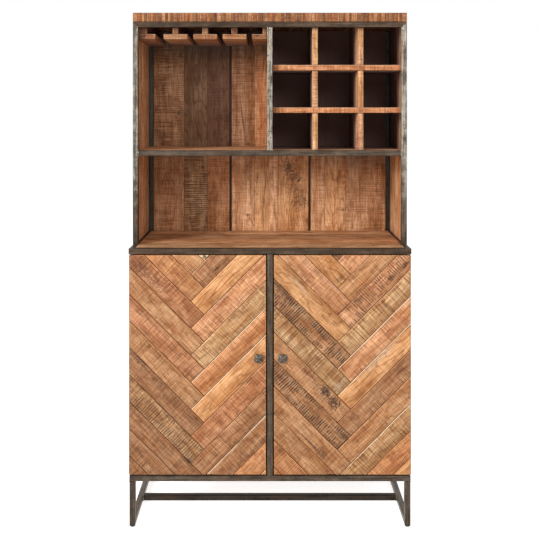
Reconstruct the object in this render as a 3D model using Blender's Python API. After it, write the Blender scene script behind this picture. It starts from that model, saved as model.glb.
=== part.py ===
"""Bar cabinet: a steel-framed cupboard with two herringbone doors and a hutch above it.

The hutch has hanging rails for stemmed glasses on the left and a bottle rack on the
right, over an open serving bay. X runs to the right as the doors are faced, Y runs
from the doors to the back and Z is up. The origin lies on the floor under the middle
of the whole cabinet. All lengths are in metres.
"""

import math

import bmesh
import bpy
from mathutils import Matrix, Vector

# Overall size
WIDTH = 1.000
DEPTH = 0.400
HEIGHT = 1.830

# Stock that many pieces are cut from
TUBE = 0.020
TUBE_WALL = 0.0015
TUBE_CORNER = 0.0022
BOARD = 0.018
EASE = 0.0010
SEAM = 0.0003
OVERRUN = 0.010
PLANK_GROOVE = 0.0016
PLANK_GROOVE_DEPTH = 0.0010

# Heights of the main levels
BASE_TOP = 0.182
COUNTER_TOP = 0.985
MIDDLE_TOP = 1.328
TOP_BOARD = 0.033

# Base frame
BASE_INSET = 0.003
GLIDE_RADIUS = 0.009
GLIDE_HEIGHT = 0.004
GLIDE_INSET = 0.0105
GLIDE_CHAMFER = 0.001
STRETCHER_SETBACK = 0.163

# Cupboard
CARCASS_SETBACK = 0.0256
LOWER_BACK = 0.008
LOWER_SHELF_RISE = 0.378
LOWER_SHELF_SETBACK = 0.060
SHELF_HOUSING = 0.006

# Doors
DOOR_THICK = 0.020
DOOR_SIDE_INSET = 0.001
DOOR_REVEAL = 0.0035
MEETING_GAP = 0.004
PLANK_THICK = 0.0077
PLANK_WIDTH = 0.0674
PLANK_JOINT = 0.0009
PLANK_CHAMFER = 0.0010
PLANK_BED = 0.0030
LEFT_SPINE_SHIFT = 0.000
LEFT_SPINE_RISE = 0.0405
RIGHT_SPINE_SHIFT = 0.0065
RIGHT_SPINE_RISE = 0.0877

# Door pivots
PIVOT_INSET = 0.010
PIVOT_SETBACK = 0.014
PIN_RADIUS = 0.003
PIN_RUNNING_GAP = 0.00008
PIN_IN_DOOR = 0.012
PIN_IN_RAIL = 0.010

# Knobs and catch
KNOB_SIDE = 0.029
KNOB_REACH = 0.012
KNOB_EDGE = 0.0035
KNOB_TIP = 0.002
KNOB_HEIGHT = 0.597
LEFT_KNOB_INSET = 0.0263
RIGHT_KNOB_INSET = 0.0305
LEFT_KNOB_TURN = math.radians(8)
RIGHT_KNOB_TURN = math.radians(3)
STEM_RADIUS = 0.0025
STEM_CLEARANCE = 0.0003
NUT_RADIUS = 0.008
NUT_THICK = 0.0025
CATCH_HEIGHT = 0.024
CATCH_DEPTH = 0.014
CATCH_NECK = 0.016
CATCH_OVERLAP = 0.006

# Hutch
HUTCH_SETBACK = 0.078
HUTCH_SIDE = 0.010
BACK_PANEL = 0.010
BACK_GROOVE = 0.008
BACK_LAP = 0.006
RACK_BOARD = 0.020
RACK_LAP = 0.0003

# Glass rails
GLASS_DROP = 0.062
GLASS_FLANGE = 0.088
GLASS_FLANGE_THICK = 0.019
GLASS_WEB = 0.021
GLASS_LEFT_FLANGE = 0.069
GLASS_LEFT_WEB = 0.038
GLASS_RIGHT_FLANGE = 0.056
GLASS_RIGHT_WEB = 0.016
GLASS_SETBACK = 0.002

# Places along a wider piece, as shares of it
GLASS_RAIL_SHARES = (0.2975, 0.5250, 0.7500)
BACK_SEAM_SHARES = (0.331, 0.673)
TOP_PLANK_SHARES = (0.085, 0.175, 0.262, 0.355, 0.440, 0.528, 0.613, 0.700, 0.790, 0.882)
COUNTER_PLANK_SHARES = (0.24, 0.50, 0.76)
SIDE_PLANK_SHARES = (0.36, 0.70)
SHELF_PLANK_SHARES = (0.33, 0.64)
PANEL_JOINT_SHARE = 0.42
REAR_PANEL_SHARES = (0.27, 0.55, 0.80)

# Steps round curved outlines
CORNER_STEPS = 3
ROUND_STEPS = 24
PIN_STEPS = 32
KNOB_STEPS = 16

# Levels and planes worked out from the sizes above
HALF_WIDTH = WIDTH / 2
FRONT = (KNOB_REACH - DEPTH) / 2
RUNNER_TOP = GLIDE_HEIGHT + TUBE
BASE_BOTTOM = BASE_TOP - TUBE
BASE_HALF = HALF_WIDTH - BASE_INSET
COUNTER_BOTTOM = COUNTER_TOP - TUBE
MIDDLE_BOTTOM = MIDDLE_TOP - TUBE
RAIL_TOP = HEIGHT - TOP_BOARD
RAIL_BOTTOM = RAIL_TOP - TUBE
REAR_TUBE = DEPTH - TUBE
HUTCH_FACE = HUTCH_SETBACK + TUBE
SIDE_INNER = HALF_WIDTH - HUTCH_SIDE
BACK_FACE = REAR_TUBE - BACK_PANEL
DOOR_BOTTOM = BASE_TOP + DOOR_REVEAL
DOOR_TOP = COUNTER_BOTTOM - DOOR_REVEAL
DOOR_OUTER = HALF_WIDTH - DOOR_SIDE_INSET
DOOR_INNER = TUBE / 2 + MEETING_GAP
PIVOT_X = HALF_WIDTH - PIVOT_INSET
LEFT, RIGHT = -1, 1

# Colour, roughness and metallic value of each finish
FINISHES = {
    "steel": ((0.085, 0.068, 0.055), 0.45, 0.85),
    "bright_steel": ((0.21, 0.18, 0.155), 0.42, 0.85),
    "teak": ((0.50, 0.235, 0.105), 0.55, 0.0),
    "teak_dark": ((0.30, 0.145, 0.070), 0.60, 0.0),
    "teak_light": ((0.62, 0.33, 0.17), 0.55, 0.0),
    "plastic": ((0.012, 0.012, 0.012), 0.50, 0.0),
}


def behind(depth):
    """World Y of the plane that lies this far behind the door faces."""
    return FRONT + depth


def inset(low, high, gap=SEAM):
    """A span drawn in by a gap at both ends."""
    return (low + gap, high - gap)


def mirrored(side, low, high):
    """A span of X on the left or the right of the middle plane."""
    return (low, high) if side == RIGHT else (-high, -low)


def side_name(side):
    return "left" if side == LEFT else "right"


def clear_scene():
    for thing in list(bpy.data.objects):
        bpy.data.objects.remove(thing)


def make_material(name, finish):
    colour, roughness, metallic = FINISHES[finish]
    material = bpy.data.materials.new(name)
    material.use_nodes = True
    shader = material.node_tree.nodes["Principled BSDF"]
    shader.inputs["Base Color"].default_value = (*colour, 1)
    shader.inputs["Roughness"].default_value = roughness
    shader.inputs["Metallic"].default_value = metallic
    material.diffuse_color = (*colour, 1)
    return material


def add_object(name, mesh_data, finish, centre=(0, 0, 0), parent=None):
    """Turns a bmesh into a named object whose origin is at centre, or on its parent's axis."""
    pivot = parent.location.copy() if parent else Vector(centre)
    bmesh.ops.translate(mesh_data, verts=mesh_data.verts, vec=-pivot)
    bmesh.ops.recalc_face_normals(mesh_data, faces=mesh_data.faces)
    mesh = bpy.data.meshes.new(name)
    mesh_data.to_mesh(mesh)
    mesh_data.free()
    mesh.materials.append(make_material(name + "_finish", finish))
    thing = bpy.data.objects.new(name, mesh)
    bpy.context.scene.collection.objects.link(thing)
    if parent:
        thing.parent = parent
    else:
        thing.location = pivot
    return thing


def add_pivot(name, location):
    pivot = bpy.data.objects.new(name, None)
    pivot.location = location
    bpy.context.scene.collection.objects.link(pivot)
    return pivot


def soften(thing, width=EASE, segments=1):
    """Eases every square edge of a piece."""
    bevel = thing.modifiers.new("eased_edges", "BEVEL")
    bevel.width = width
    bevel.segments = segments
    bevel.limit_method = "ANGLE"
    bevel.angle_limit = math.radians(60)


def cut(thing, cutter_mesh, name, operation="DIFFERENCE"):
    """Takes a hidden cutter's shape out of a piece, or joins it on."""
    mesh = bpy.data.meshes.new(name)
    bmesh.ops.recalc_face_normals(cutter_mesh, faces=cutter_mesh.faces)
    cutter_mesh.to_mesh(mesh)
    cutter_mesh.free()
    cutter = bpy.data.objects.new(name, mesh)
    cutter.hide_render = True
    cutter.display_type = "WIRE"
    bpy.context.scene.collection.objects.link(cutter)
    boolean = thing.modifiers.new(name, "BOOLEAN")
    boolean.operation = operation
    boolean.object = cutter


def skin(mesh_data, lower, upper):
    """Faces between two loops of corners."""
    count = len(lower)
    for i in range(count):
        j = (i + 1) % count
        mesh_data.faces.new((lower[i], lower[j], upper[j], upper[i]))


def join_rings(mesh_data, rings):
    """Skins a stack of rings that have the same number of corners, and caps both ends."""
    loops = [[mesh_data.verts.new(point) for point in ring] for ring in rings]
    for lower, upper in zip(loops, loops[1:]):
        skin(mesh_data, lower, upper)
    mesh_data.faces.new(loops[0])
    mesh_data.faces.new(loops[-1])


def circle(centre, radius, normal, steps):
    """Corners of a round ring about an axis through centre."""
    turn = Vector((0, 0, 1)).rotation_difference(Vector(normal)).to_matrix()
    points = []
    for i in range(steps):
        angle = math.tau * i / steps
        spoke = Vector((math.cos(angle), math.sin(angle), 0)) * radius
        points.append(Vector(centre) + turn @ spoke)
    return points


def add_rod(mesh_data, start, end, radius, steps=ROUND_STEPS):
    axis = (Vector(end) - Vector(start)).normalized()
    join_rings(mesh_data, [circle(start, radius, axis, steps), circle(end, radius, axis, steps)])


def rounded_square(first, second, radius):
    """Corners of a rectangle with round corners, from its two spans."""
    middles = (
        (first[1] - radius, second[1] - radius, 0),
        (first[0] + radius, second[1] - radius, 1),
        (first[0] + radius, second[0] + radius, 2),
        (first[1] - radius, second[0] + radius, 3),
    )
    points = []
    for across, up, quarter in middles:
        for step in range(CORNER_STEPS + 1):
            angle = (quarter + step / CORNER_STEPS) * math.pi / 2
            points.append((across + radius * math.cos(angle), up + radius * math.sin(angle)))
    return points


def tube(name, run, x, y, z, mitre=None, mitred_ends=(False, False), capped=False, finish="steel"):
    """Square steel tube along one axis, open at its ends unless they are capped.

    run is the axis it lies along, 0, 1 or 2. mitre names the axis and the side of the
    face that keeps its full length where an end is cut at 45 degrees.
    """
    spans = (x, y, z)
    first, second = [axis for axis in range(3) if axis != run]
    outer = rounded_square(spans[first], spans[second], TUBE_CORNER)
    bore = [inset(*spans[axis], TUBE_WALL) for axis in (first, second)]
    inner = rounded_square(*bore, TUBE_CORNER - TUBE_WALL)

    def end_loop(outline, end, depth):
        inwards = 1 if end == 0 else -1
        loop = []
        for across, up in outline:
            point = [0, 0, 0]
            point[first] = across
            point[second] = up
            point[run] = spans[run][end] + inwards * depth
            if mitred_ends[end]:
                axis, side = mitre
                from_face = abs(point[axis] - spans[axis][1 if side > 0 else 0])
                point[run] += inwards * (from_face + SEAM)
            loop.append(mesh_data.verts.new(point))
        return loop

    mesh_data = bmesh.new()
    outer_loops = [end_loop(outer, end, 0) for end in (0, 1)]
    inner_loops = [end_loop(inner, end, TUBE_WALL if capped else 0) for end in (0, 1)]
    skin(mesh_data, *outer_loops)
    skin(mesh_data, *inner_loops)
    for outside, inside in zip(outer_loops, inner_loops):
        if capped:
            mesh_data.faces.new(outside)
            mesh_data.faces.new(inside)
        else:
            skin(mesh_data, outside, inside)
    centre = [sum(span) / 2 for span in spans]
    thing = add_object(name, mesh_data, finish, centre)
    thing.data.shade_smooth()
    thing.data.set_sharp_from_angle(angle=math.radians(40))
    return thing


def add_box(mesh_data, x, y, z):
    corners = [(x[i], y[j], z[k]) for k in (0, 1) for i, j in ((0, 0), (1, 0), (1, 1), (0, 1))]
    join_rings(mesh_data, [corners[:4], corners[4:]])


def plank_board(name, run, thick, x, y, z, joint_shares, finish="teak"):
    """Board glued up from planks that lie along the run axis.

    A shallow V shows each joint on both faces, and the long edges are eased.
    """
    spans = (x, y, z)
    wide = [axis for axis in range(3) if axis not in (run, thick)][0]
    low, high = spans[wide]
    bottom, top = spans[thick]
    joints = [low + (high - low) * share for share in joint_shares]
    lower_side = [(low, bottom + EASE), (low + EASE, bottom)]
    for joint in joints:
        lower_side.append((joint - PLANK_GROOVE / 2, bottom))
        lower_side.append((joint, bottom + PLANK_GROOVE_DEPTH))
        lower_side.append((joint + PLANK_GROOVE / 2, bottom))
    lower_side += [(high - EASE, bottom), (high, bottom + EASE)]
    upper_side = [(across, bottom + top - level) for across, level in reversed(lower_side)]
    rings = []
    for end in spans[run]:
        ring = []
        for across, level in lower_side + upper_side:
            point = [0, 0, 0]
            point[run] = end
            point[wide] = across
            point[thick] = level
            ring.append(point)
        rings.append(ring)
    mesh_data = bmesh.new()
    join_rings(mesh_data, rings)
    centre = [sum(span) / 2 for span in spans]
    return add_object(name, mesh_data, finish, centre)


def build_base():
    """Floor runners, legs, base ring and the rear posts that carry the counter."""
    front = (behind(0), behind(TUBE))
    rear = (behind(REAR_TUBE), behind(DEPTH))
    whole_depth = (behind(0), behind(DEPTH))
    between = inset(behind(TUBE), behind(REAR_TUBE))
    floor_level = (GLIDE_HEIGHT + SEAM, RUNNER_TOP)
    ring_level = (BASE_BOTTOM, BASE_TOP)
    leg_z = (floor_level[0], BASE_BOTTOM - SEAM)
    post_z = (floor_level[0], COUNTER_BOTTOM - SEAM)
    inner = BASE_HALF - TUBE - SEAM
    for side in (LEFT, RIGHT):
        label = side_name(side)
        x = mirrored(side, BASE_HALF - TUBE, BASE_HALF)
        tube(label + "_runner", 1, x, whole_depth, floor_level, (2, -1), (True, True))
        tube(label + "_front_leg", 2, x, front, leg_z, (1, -1), (True, False))
        tube(label + "_rear_post", 2, x, rear, post_z, (1, 1), (True, False))
        tube(label + "_base_rail", 1, x, between, ring_level)
    across = (-BASE_HALF, BASE_HALF)
    front_rail = tube("front_base_rail", 0, across, front, ring_level, capped=True)
    tube("rear_base_rail", 0, (-inner, inner), rear, ring_level)
    stretcher = (behind(STRETCHER_SETBACK), behind(STRETCHER_SETBACK + TUBE))
    tube("floor_stretcher", 0, (-inner, inner), stretcher, floor_level)
    tube("door_mullion", 2, (-TUBE / 2, TUBE / 2), front, inset(BASE_TOP, COUNTER_BOTTOM))
    return front_rail


def build_glides():
    """Round glides under both ends of both runners."""
    profile = (
        (GLIDE_RADIUS - GLIDE_CHAMFER, 0),
        (GLIDE_RADIUS, GLIDE_CHAMFER),
        (GLIDE_RADIUS, GLIDE_HEIGHT),
    )
    for side in (LEFT, RIGHT):
        for end, depth in (("front", GLIDE_INSET), ("rear", DEPTH - GLIDE_INSET)):
            x = side * (BASE_HALF - TUBE / 2)
            mesh_data = bmesh.new()
            rings = []
            for radius, level in profile:
                rings.append(circle((x, behind(depth), level), radius, (0, 0, 1), ROUND_STEPS))
            join_rings(mesh_data, rings)
            name = f"{side_name(side)}_{end}_glide"
            glide = add_object(name, mesh_data, "plastic", (x, behind(depth), 0))
            glide.data.shade_smooth()
            glide.data.set_sharp_from_angle(angle=math.radians(30))


def build_counter():
    """Steel ring round a plank board: the serving counter."""
    level = (COUNTER_BOTTOM, COUNTER_TOP)
    across = (-HALF_WIDTH, HALF_WIDTH)
    front = (behind(0), behind(TUBE))
    rear = (behind(REAR_TUBE), behind(DEPTH))
    rail_y = (behind(TUBE) + SEAM, behind(DEPTH))
    front_rail = tube("front_counter_rail", 0, across, front, level, capped=True)
    tube("rear_counter_rail", 0, across, rear, level, (1, 1), (True, True))
    for side in (LEFT, RIGHT):
        x = mirrored(side, HALF_WIDTH - TUBE, HALF_WIDTH)
        tube(side_name(side) + "_counter_rail", 1, x, rail_y, level, (0, side), (False, True))
    x = inset(-HALF_WIDTH + TUBE, HALF_WIDTH - TUBE)
    y = inset(behind(TUBE), behind(REAR_TUBE))
    z = (COUNTER_TOP - BOARD, COUNTER_TOP)
    plank_board("counter_board", 0, 2, x, y, z, COUNTER_PLANK_SHARES, "teak")
    return front_rail


def build_carcass():
    """The wooden box behind the doors, with its shelf."""
    setback = behind(CARCASS_SETBACK)
    rear_face = behind(REAR_TUBE) - SEAM
    side_y = (setback, rear_face)
    side_z = inset(BASE_TOP, COUNTER_BOTTOM)
    sides = []
    for side in (LEFT, RIGHT):
        x = mirrored(side, BASE_HALF - BOARD, BASE_HALF)
        name = side_name(side) + "_cupboard_side"
        sides.append(plank_board(name, 2, 0, x, side_y, side_z, SIDE_PLANK_SHARES, "teak"))
    inner = BASE_HALF - BOARD - SEAM
    back_y = (rear_face - LOWER_BACK, rear_face)
    floor_z = (BASE_TOP + SEAM, BASE_TOP + SEAM + BOARD)
    floor_y = (setback, back_y[0] - SEAM)
    plank_board("cupboard_floor", 0, 2, (-inner, inner), floor_y, floor_z, COUNTER_PLANK_SHARES)
    back_z = (BASE_TOP + SEAM, COUNTER_TOP - BOARD - SEAM)
    back_x = (-inner, inner)
    plank_board("cupboard_back", 2, 1, back_x, back_y, back_z, REAR_PANEL_SHARES, "teak_dark")
    shelf_bottom = BASE_TOP + LOWER_SHELF_RISE
    shelf_half = inner + SHELF_HOUSING
    shelf_x = (-shelf_half, shelf_half)
    shelf_y = (behind(LOWER_SHELF_SETBACK), back_y[0] - SEAM)
    shelf_z = (shelf_bottom, shelf_bottom + BOARD)
    plank_board("cupboard_shelf", 0, 2, shelf_x, shelf_y, shelf_z, SHELF_PLANK_SHARES)
    for panel, side in zip(sides, (LEFT, RIGHT)):
        housing = bmesh.new()
        x = mirrored(side, inner - OVERRUN, shelf_half + SEAM)
        y = (shelf_y[0] - SEAM, rear_face + OVERRUN)
        add_box(housing, x, y, (shelf_z[0] - SEAM, shelf_z[1] + SEAM))
        cut(panel, housing, side_name(side) + "_shelf_housing")


def plank_corners(across, slope):
    """Corners of one herringbone plank, from its two spans on the slanted axes."""
    (u0, u1), (v0, v1) = across, slope
    corners = ((u0, v0), (u1, v0), (u1, v1), (u0, v1))
    return [((u + v) * math.sqrt(0.5), (v - u) * math.sqrt(0.5)) for u, v in corners]


def herringbone(spine, reach):
    """Every plank that slants away from the spine, left arm then right arm."""
    count = math.ceil(reach / PLANK_WIDTH)
    for k in range(-count, count):
        band = (k * PLANK_WIDTH, (k + 1) * PLANK_WIDTH)
        for corners in (
            plank_corners((-reach, -band[0]), band),
            plank_corners(band, (-band[0], reach)),
        ):
            yield [(spine[0] + x, spine[1] + z) for x, z in corners]


def add_plank(mesh_data, corners, x, z):
    """One plank cut to the door's outline, with a chamfer round its face."""
    plank = bmesh.new()
    face_y = behind(0) + PLANK_CHAMFER
    plank.faces.new([plank.verts.new((across, face_y, up)) for across, up in corners])
    for value, axis, side in ((x[0], 0, -1), (x[1], 0, 1), (z[0], 2, -1), (z[1], 2, 1)):
        place, normal = Vector(), Vector()
        place[axis] = value
        normal[axis] = side
        everything = plank.verts[:] + plank.edges[:] + plank.faces[:]
        bmesh.ops.bisect_plane(
            plank, geom=everything, plane_co=place, plane_no=normal, clear_outer=True
        )
    if plank.faces and plank.faces[:][0].calc_area() > PLANK_WIDTH * PLANK_THICK:
        chamfer_plank(plank)
        copy_into(mesh_data, plank)
    plank.free()


def chamfer_plank(plank):
    face = plank.faces[:][0]
    if face.normal.y > 0:
        bmesh.ops.reverse_faces(plank, faces=[face])
    bmesh.ops.inset_region(plank, faces=[face], thickness=PLANK_JOINT / 2, use_boundary=True)
    bmesh.ops.delete(plank, geom=[f for f in plank.faces if f is not face], context="FACES")
    swept = bmesh.ops.extrude_face_region(plank, geom=[face], use_keep_orig=True)
    rear = [item for item in swept["geom"] if isinstance(item, bmesh.types.BMVert)]
    depth = PLANK_THICK - PLANK_CHAMFER + PLANK_BED
    bmesh.ops.translate(plank, verts=rear, vec=(0, depth, 0))
    bmesh.ops.inset_region(plank, faces=[face], thickness=PLANK_CHAMFER)
    for vert in face.verts:
        vert.co.y = behind(0)
    bmesh.ops.recalc_face_normals(plank, faces=plank.faces)


def copy_into(mesh_data, piece):
    """Adds a small bmesh to a larger one as a separate body."""
    twins = {vert: mesh_data.verts.new(vert.co) for vert in piece.verts}
    for face in piece.faces:
        mesh_data.faces.new([twins[vert] for vert in face.verts])


def build_knob(label, pivot, x, turn):
    """Pyramid-headed knob whose stem runs through the door to a round nut."""
    head_back = -SEAM
    nut_front = DOOR_THICK + SEAM
    profile = (
        (KNOB_TIP / 2, -KNOB_REACH, True),
        (KNOB_SIDE / 2, -KNOB_EDGE, True),
        (KNOB_SIDE / 2, head_back, True),
        (STEM_RADIUS, head_back, False),
        (STEM_RADIUS, nut_front, False),
        (NUT_RADIUS, nut_front, False),
        (NUT_RADIUS, nut_front + NUT_THICK, False),
    )
    rings = []
    for size, depth, square in profile:
        ring = []
        for i in range(KNOB_STEPS):
            angle = math.tau * i / KNOB_STEPS + math.pi / 4
            reach = size / max(abs(math.cos(angle)), abs(math.sin(angle))) if square else size
            spoke = Vector((math.cos(angle), 0, math.sin(angle))) * reach
            place = Matrix.Rotation(turn, 3, "Y") @ spoke
            ring.append(place + Vector((x, behind(depth), KNOB_HEIGHT)))
        rings.append(ring)
    mesh_data = bmesh.new()
    join_rings(mesh_data, rings)
    add_object(label + "_knob", mesh_data, "steel", parent=pivot)


def knob_drill(x):
    """Cutter for the knob's stem, longer than the door is thick."""
    cutter = bmesh.new()
    radius = STEM_RADIUS + STEM_CLEARANCE
    start = (x, behind(-OVERRUN), KNOB_HEIGHT)
    end = (x, behind(DOOR_THICK + OVERRUN), KNOB_HEIGHT)
    add_rod(cutter, start, end, radius)
    return cutter


def pin_drill(x, low, high, clearance):
    cutter = bmesh.new()
    y = behind(PIVOT_SETBACK)
    add_rod(cutter, (x, y, low), (x, y, high), PIN_RADIUS + clearance, PIN_STEPS)
    return cutter


def build_door(side, spine_shift, spine_rise, knob_inset, knob_turn):
    """A backing board faced with herringbone planks, hung on two pivot pins."""
    label = side_name(side)
    pivot_x = side * PIVOT_X
    pivot = add_pivot(label + "_door_axis", (pivot_x, behind(PIVOT_SETBACK), DOOR_BOTTOM))
    x = mirrored(side, DOOR_INNER, DOOR_OUTER)
    z = (DOOR_BOTTOM, DOOR_TOP)
    knob_x = side * (DOOR_INNER + knob_inset)

    planks = bmesh.new()
    middle = side * (DOOR_INNER + DOOR_OUTER) / 2
    arm_gap = PLANK_WIDTH * math.sqrt(0.5)
    spine = (middle + spine_shift - arm_gap / 2, DOOR_BOTTOM + spine_rise)
    reach = math.hypot(DOOR_OUTER - DOOR_INNER, DOOR_TOP - DOOR_BOTTOM)
    for corners in herringbone(spine, reach):
        add_plank(planks, corners, x, z)

    mesh_data = bmesh.new()
    add_box(mesh_data, x, (behind(PLANK_THICK), behind(DOOR_THICK)), z)
    leaf = add_object(label + "_door", mesh_data, "teak_light", parent=pivot)
    cut(leaf, planks, label + "_door_planks", "UNION")
    for name, low, high in (
        ("lower", z[0] - OVERRUN, z[0] + PIN_IN_DOOR + SEAM),
        ("upper", z[1] - PIN_IN_DOOR - SEAM, z[1] + OVERRUN),
    ):
        cut(leaf, pin_drill(pivot_x, low, high, SEAM), f"{label}_{name}_pin_drill")
    cut(leaf, knob_drill(knob_x), label + "_knob_drill")
    build_knob(label, pivot, knob_x, knob_turn)

    y = behind(PIVOT_SETBACK)
    for name, low, high in (
        ("lower", BASE_TOP - PIN_IN_RAIL, z[0] + PIN_IN_DOOR),
        ("upper", z[1] - PIN_IN_DOOR, COUNTER_BOTTOM + PIN_IN_RAIL),
    ):
        pin_mesh = bmesh.new()
        add_rod(pin_mesh, (pivot_x, y, low), (pivot_x, y, high), PIN_RADIUS, PIN_STEPS)
        pin = add_object(f"{label}_door_{name}_pin", pin_mesh, "bright_steel", parent=pivot)
        pin.data.shade_smooth()
        pin.data.set_sharp_from_angle(angle=math.radians(40))


def drill_pivots(rail, low, high):
    """Sockets for both doors' pins in the rail above or below them."""
    for side in (LEFT, RIGHT):
        name = f"{side_name(side)}_socket_in_{rail.name}"
        cut(rail, pin_drill(side * PIVOT_X, low, high, PIN_RUNNING_GAP), name)


def build_catch():
    """Magnet block behind the mullion, which holds both doors by the nuts of their knobs."""
    face = DOOR_THICK + SEAM + NUT_THICK + SEAM
    z = (KNOB_HEIGHT - CATCH_HEIGHT / 2, KNOB_HEIGHT + CATCH_HEIGHT / 2)
    nut_reach = DOOR_INNER + max(LEFT_KNOB_INSET, RIGHT_KNOB_INSET) + CATCH_OVERLAP
    plan = [
        (CATCH_NECK / 2, TUBE + SEAM),
        (CATCH_NECK / 2, face),
        (nut_reach, face),
        (nut_reach, face + CATCH_DEPTH),
    ]
    outline = plan + [(-x, depth) for x, depth in reversed(plan)]
    rings = [[(x, behind(depth), level) for x, depth in outline] for level in z]
    mesh_data = bmesh.new()
    join_rings(mesh_data, rings)
    add_object("door_catch", mesh_data, "plastic", (0, behind(face), KNOB_HEIGHT))


def build_hutch_frame():
    """Steel frames of the hutch: the front one with its middle rail and post, and the rear one."""
    front = (behind(HUTCH_SETBACK), behind(HUTCH_FACE))
    rear = (behind(REAR_TUBE), behind(DEPTH))
    post_z = (COUNTER_TOP + SEAM, RAIL_TOP)
    rail_z = (RAIL_BOTTOM, RAIL_TOP)
    middle_z = (MIDDLE_BOTTOM, MIDDLE_TOP)
    rear_half = SIDE_INNER - SEAM
    for side in (LEFT, RIGHT):
        label = side_name(side)
        x = mirrored(side, HALF_WIDTH - TUBE, HALF_WIDTH)
        post = label + "_hutch_post"
        tube(post, 2, x, front, post_z, (0, side), (False, True), finish="bright_steel")
        rear_x = mirrored(side, rear_half - TUBE, rear_half)
        post = label + "_hutch_rear_post"
        tube(post, 2, rear_x, rear, post_z, (0, side), (False, True))
    across = (-HALF_WIDTH, HALF_WIDTH)
    tube("front_hutch_top_rail", 0, across, front, rail_z, (2, 1), (True, True))
    inner = HALF_WIDTH - TUBE - SEAM
    rear_across = (-rear_half, rear_half)
    tube("rear_hutch_top_rail", 0, rear_across, rear, rail_z, (2, 1), (True, True))
    tube("front_middle_rail", 0, (-inner, inner), front, middle_z)
    post_x = (-TUBE / 2, TUBE / 2)
    post_z = inset(MIDDLE_TOP, RAIL_BOTTOM)
    tube("hutch_centre_post", 2, post_x, front, post_z, finish="bright_steel")


def back_panel(name, x, y, z, tongue, lapped_ends):
    """Upright back board, ship-lapped: a tongue at the rear covers the groove beside it.

    A panel with tongue set has one on each lapped end, and its neighbours have a rebate
    there instead.
    """
    front, rear = y
    middle = (front + rear) / 2
    ledge = middle + SEAM / 2 if tongue else middle - SEAM / 2
    step = BACK_GROOVE + BACK_LAP - SEAM if tongue else -BACK_LAP
    joint = x[0] + (x[1] - x[0]) * PANEL_JOINT_SHARE
    outline = [
        (x[0], front),
        (joint - PLANK_GROOVE / 2, front),
        (joint, front + PLANK_GROOVE_DEPTH),
        (joint + PLANK_GROOVE / 2, front),
        (x[1], front),
    ]
    if lapped_ends[1]:
        outline += [(x[1], ledge), (x[1] + step, ledge)]
    outline.append((x[1] + (step if lapped_ends[1] else 0), rear))
    outline.append((x[0] - (step if lapped_ends[0] else 0), rear))
    if lapped_ends[0]:
        outline += [(x[0] - step, ledge), (x[0], ledge)]
    mesh_data = bmesh.new()
    join_rings(mesh_data, [[(across, deep, level) for across, deep in outline] for level in z])
    centre = [sum(span) / 2 for span in (x, y, z)]
    add_object(name, mesh_data, "teak", centre)


def build_hutch_boards():
    """Sides, back panels, middle shelf, partition and top of the hutch."""
    side_y = (behind(HUTCH_FACE) + SEAM, behind(DEPTH))
    side_z = inset(COUNTER_TOP, RAIL_TOP)
    for side in (LEFT, RIGHT):
        x = mirrored(side, SIDE_INNER, HALF_WIDTH)
        name = side_name(side) + "_hutch_side"
        plank_board(name, 2, 0, x, side_y, side_z, SIDE_PLANK_SHARES, "teak")

    low = -(SIDE_INNER - TUBE)
    span = -2 * low
    seams = [low + span * share for share in BACK_SEAM_SHARES]
    edges = [low] + seams + [-low]
    back_y = (behind(BACK_FACE), behind(REAR_TUBE) - SEAM)
    back_z = (COUNTER_TOP + SEAM, RAIL_TOP - SEAM)
    for name, start, end in zip(("left", "middle", "right"), edges, edges[1:]):
        lapped_ends = (start != low, end != -low)
        left_gap = BACK_GROOVE / 2 if lapped_ends[0] else 0
        right_gap = BACK_GROOVE / 2 if lapped_ends[1] else 0
        x = (start + left_gap, end - right_gap)
        back_panel(name + "_back_panel", x, back_y, back_z, name == "middle", lapped_ends)

    shelf_y = (side_y[0], back_y[0] - SEAM)
    shelf_z = (MIDDLE_TOP - BOARD, MIDDLE_TOP)
    shelf_x = inset(-SIDE_INNER, SIDE_INNER)
    plank_board("middle_shelf", 0, 2, shelf_x, shelf_y, shelf_z, SHELF_PLANK_SHARES, "teak")
    partition_z = (MIDDLE_TOP + SEAM, RAIL_TOP - SEAM)
    partition_x = (-TUBE / 2, TUBE / 2)
    plank_board(
        "hutch_partition", 2, 0, partition_x, shelf_y, partition_z, SIDE_PLANK_SHARES, "teak"
    )
    top_x = (-HALF_WIDTH, HALF_WIDTH)
    top_y = (behind(HUTCH_SETBACK), behind(DEPTH))
    top_z = (RAIL_TOP + SEAM, HEIGHT)
    plank_board("top_board", 1, 2, top_x, top_y, top_z, TOP_PLANK_SHARES, "teak")


def slotted_board(name, run, thick, x, y, z, notches, notch_side):
    """Rack board with slots cut to half its depth, where the crossing boards lap it."""
    spans = (x, y, z)
    low, high = y
    middle = (low + high) / 2
    slot_end = middle - RACK_LAP * notch_side
    far = high if notch_side > 0 else low
    near = low if notch_side > 0 else high
    outline = [(spans[run][0], near), (spans[run][1], near), (spans[run][1], far)]
    half_slot = RACK_BOARD / 2 + RACK_LAP
    for place in reversed(notches):
        outline.append((place + half_slot, far))
        outline.append((place + half_slot, slot_end))
        outline.append((place - half_slot, slot_end))
        outline.append((place - half_slot, far))
    outline.append((spans[run][0], far))
    rings = []
    for level in spans[thick]:
        ring = []
        for along, deep in outline:
            point = [0, 0, 0]
            point[run] = along
            point[1] = deep
            point[thick] = level
            ring.append(point)
        rings.append(ring)
    mesh_data = bmesh.new()
    join_rings(mesh_data, rings)
    centre = [sum(span) / 2 for span in spans]
    soften(add_object(name, mesh_data, "teak_light", centre), EASE / 2)


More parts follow.
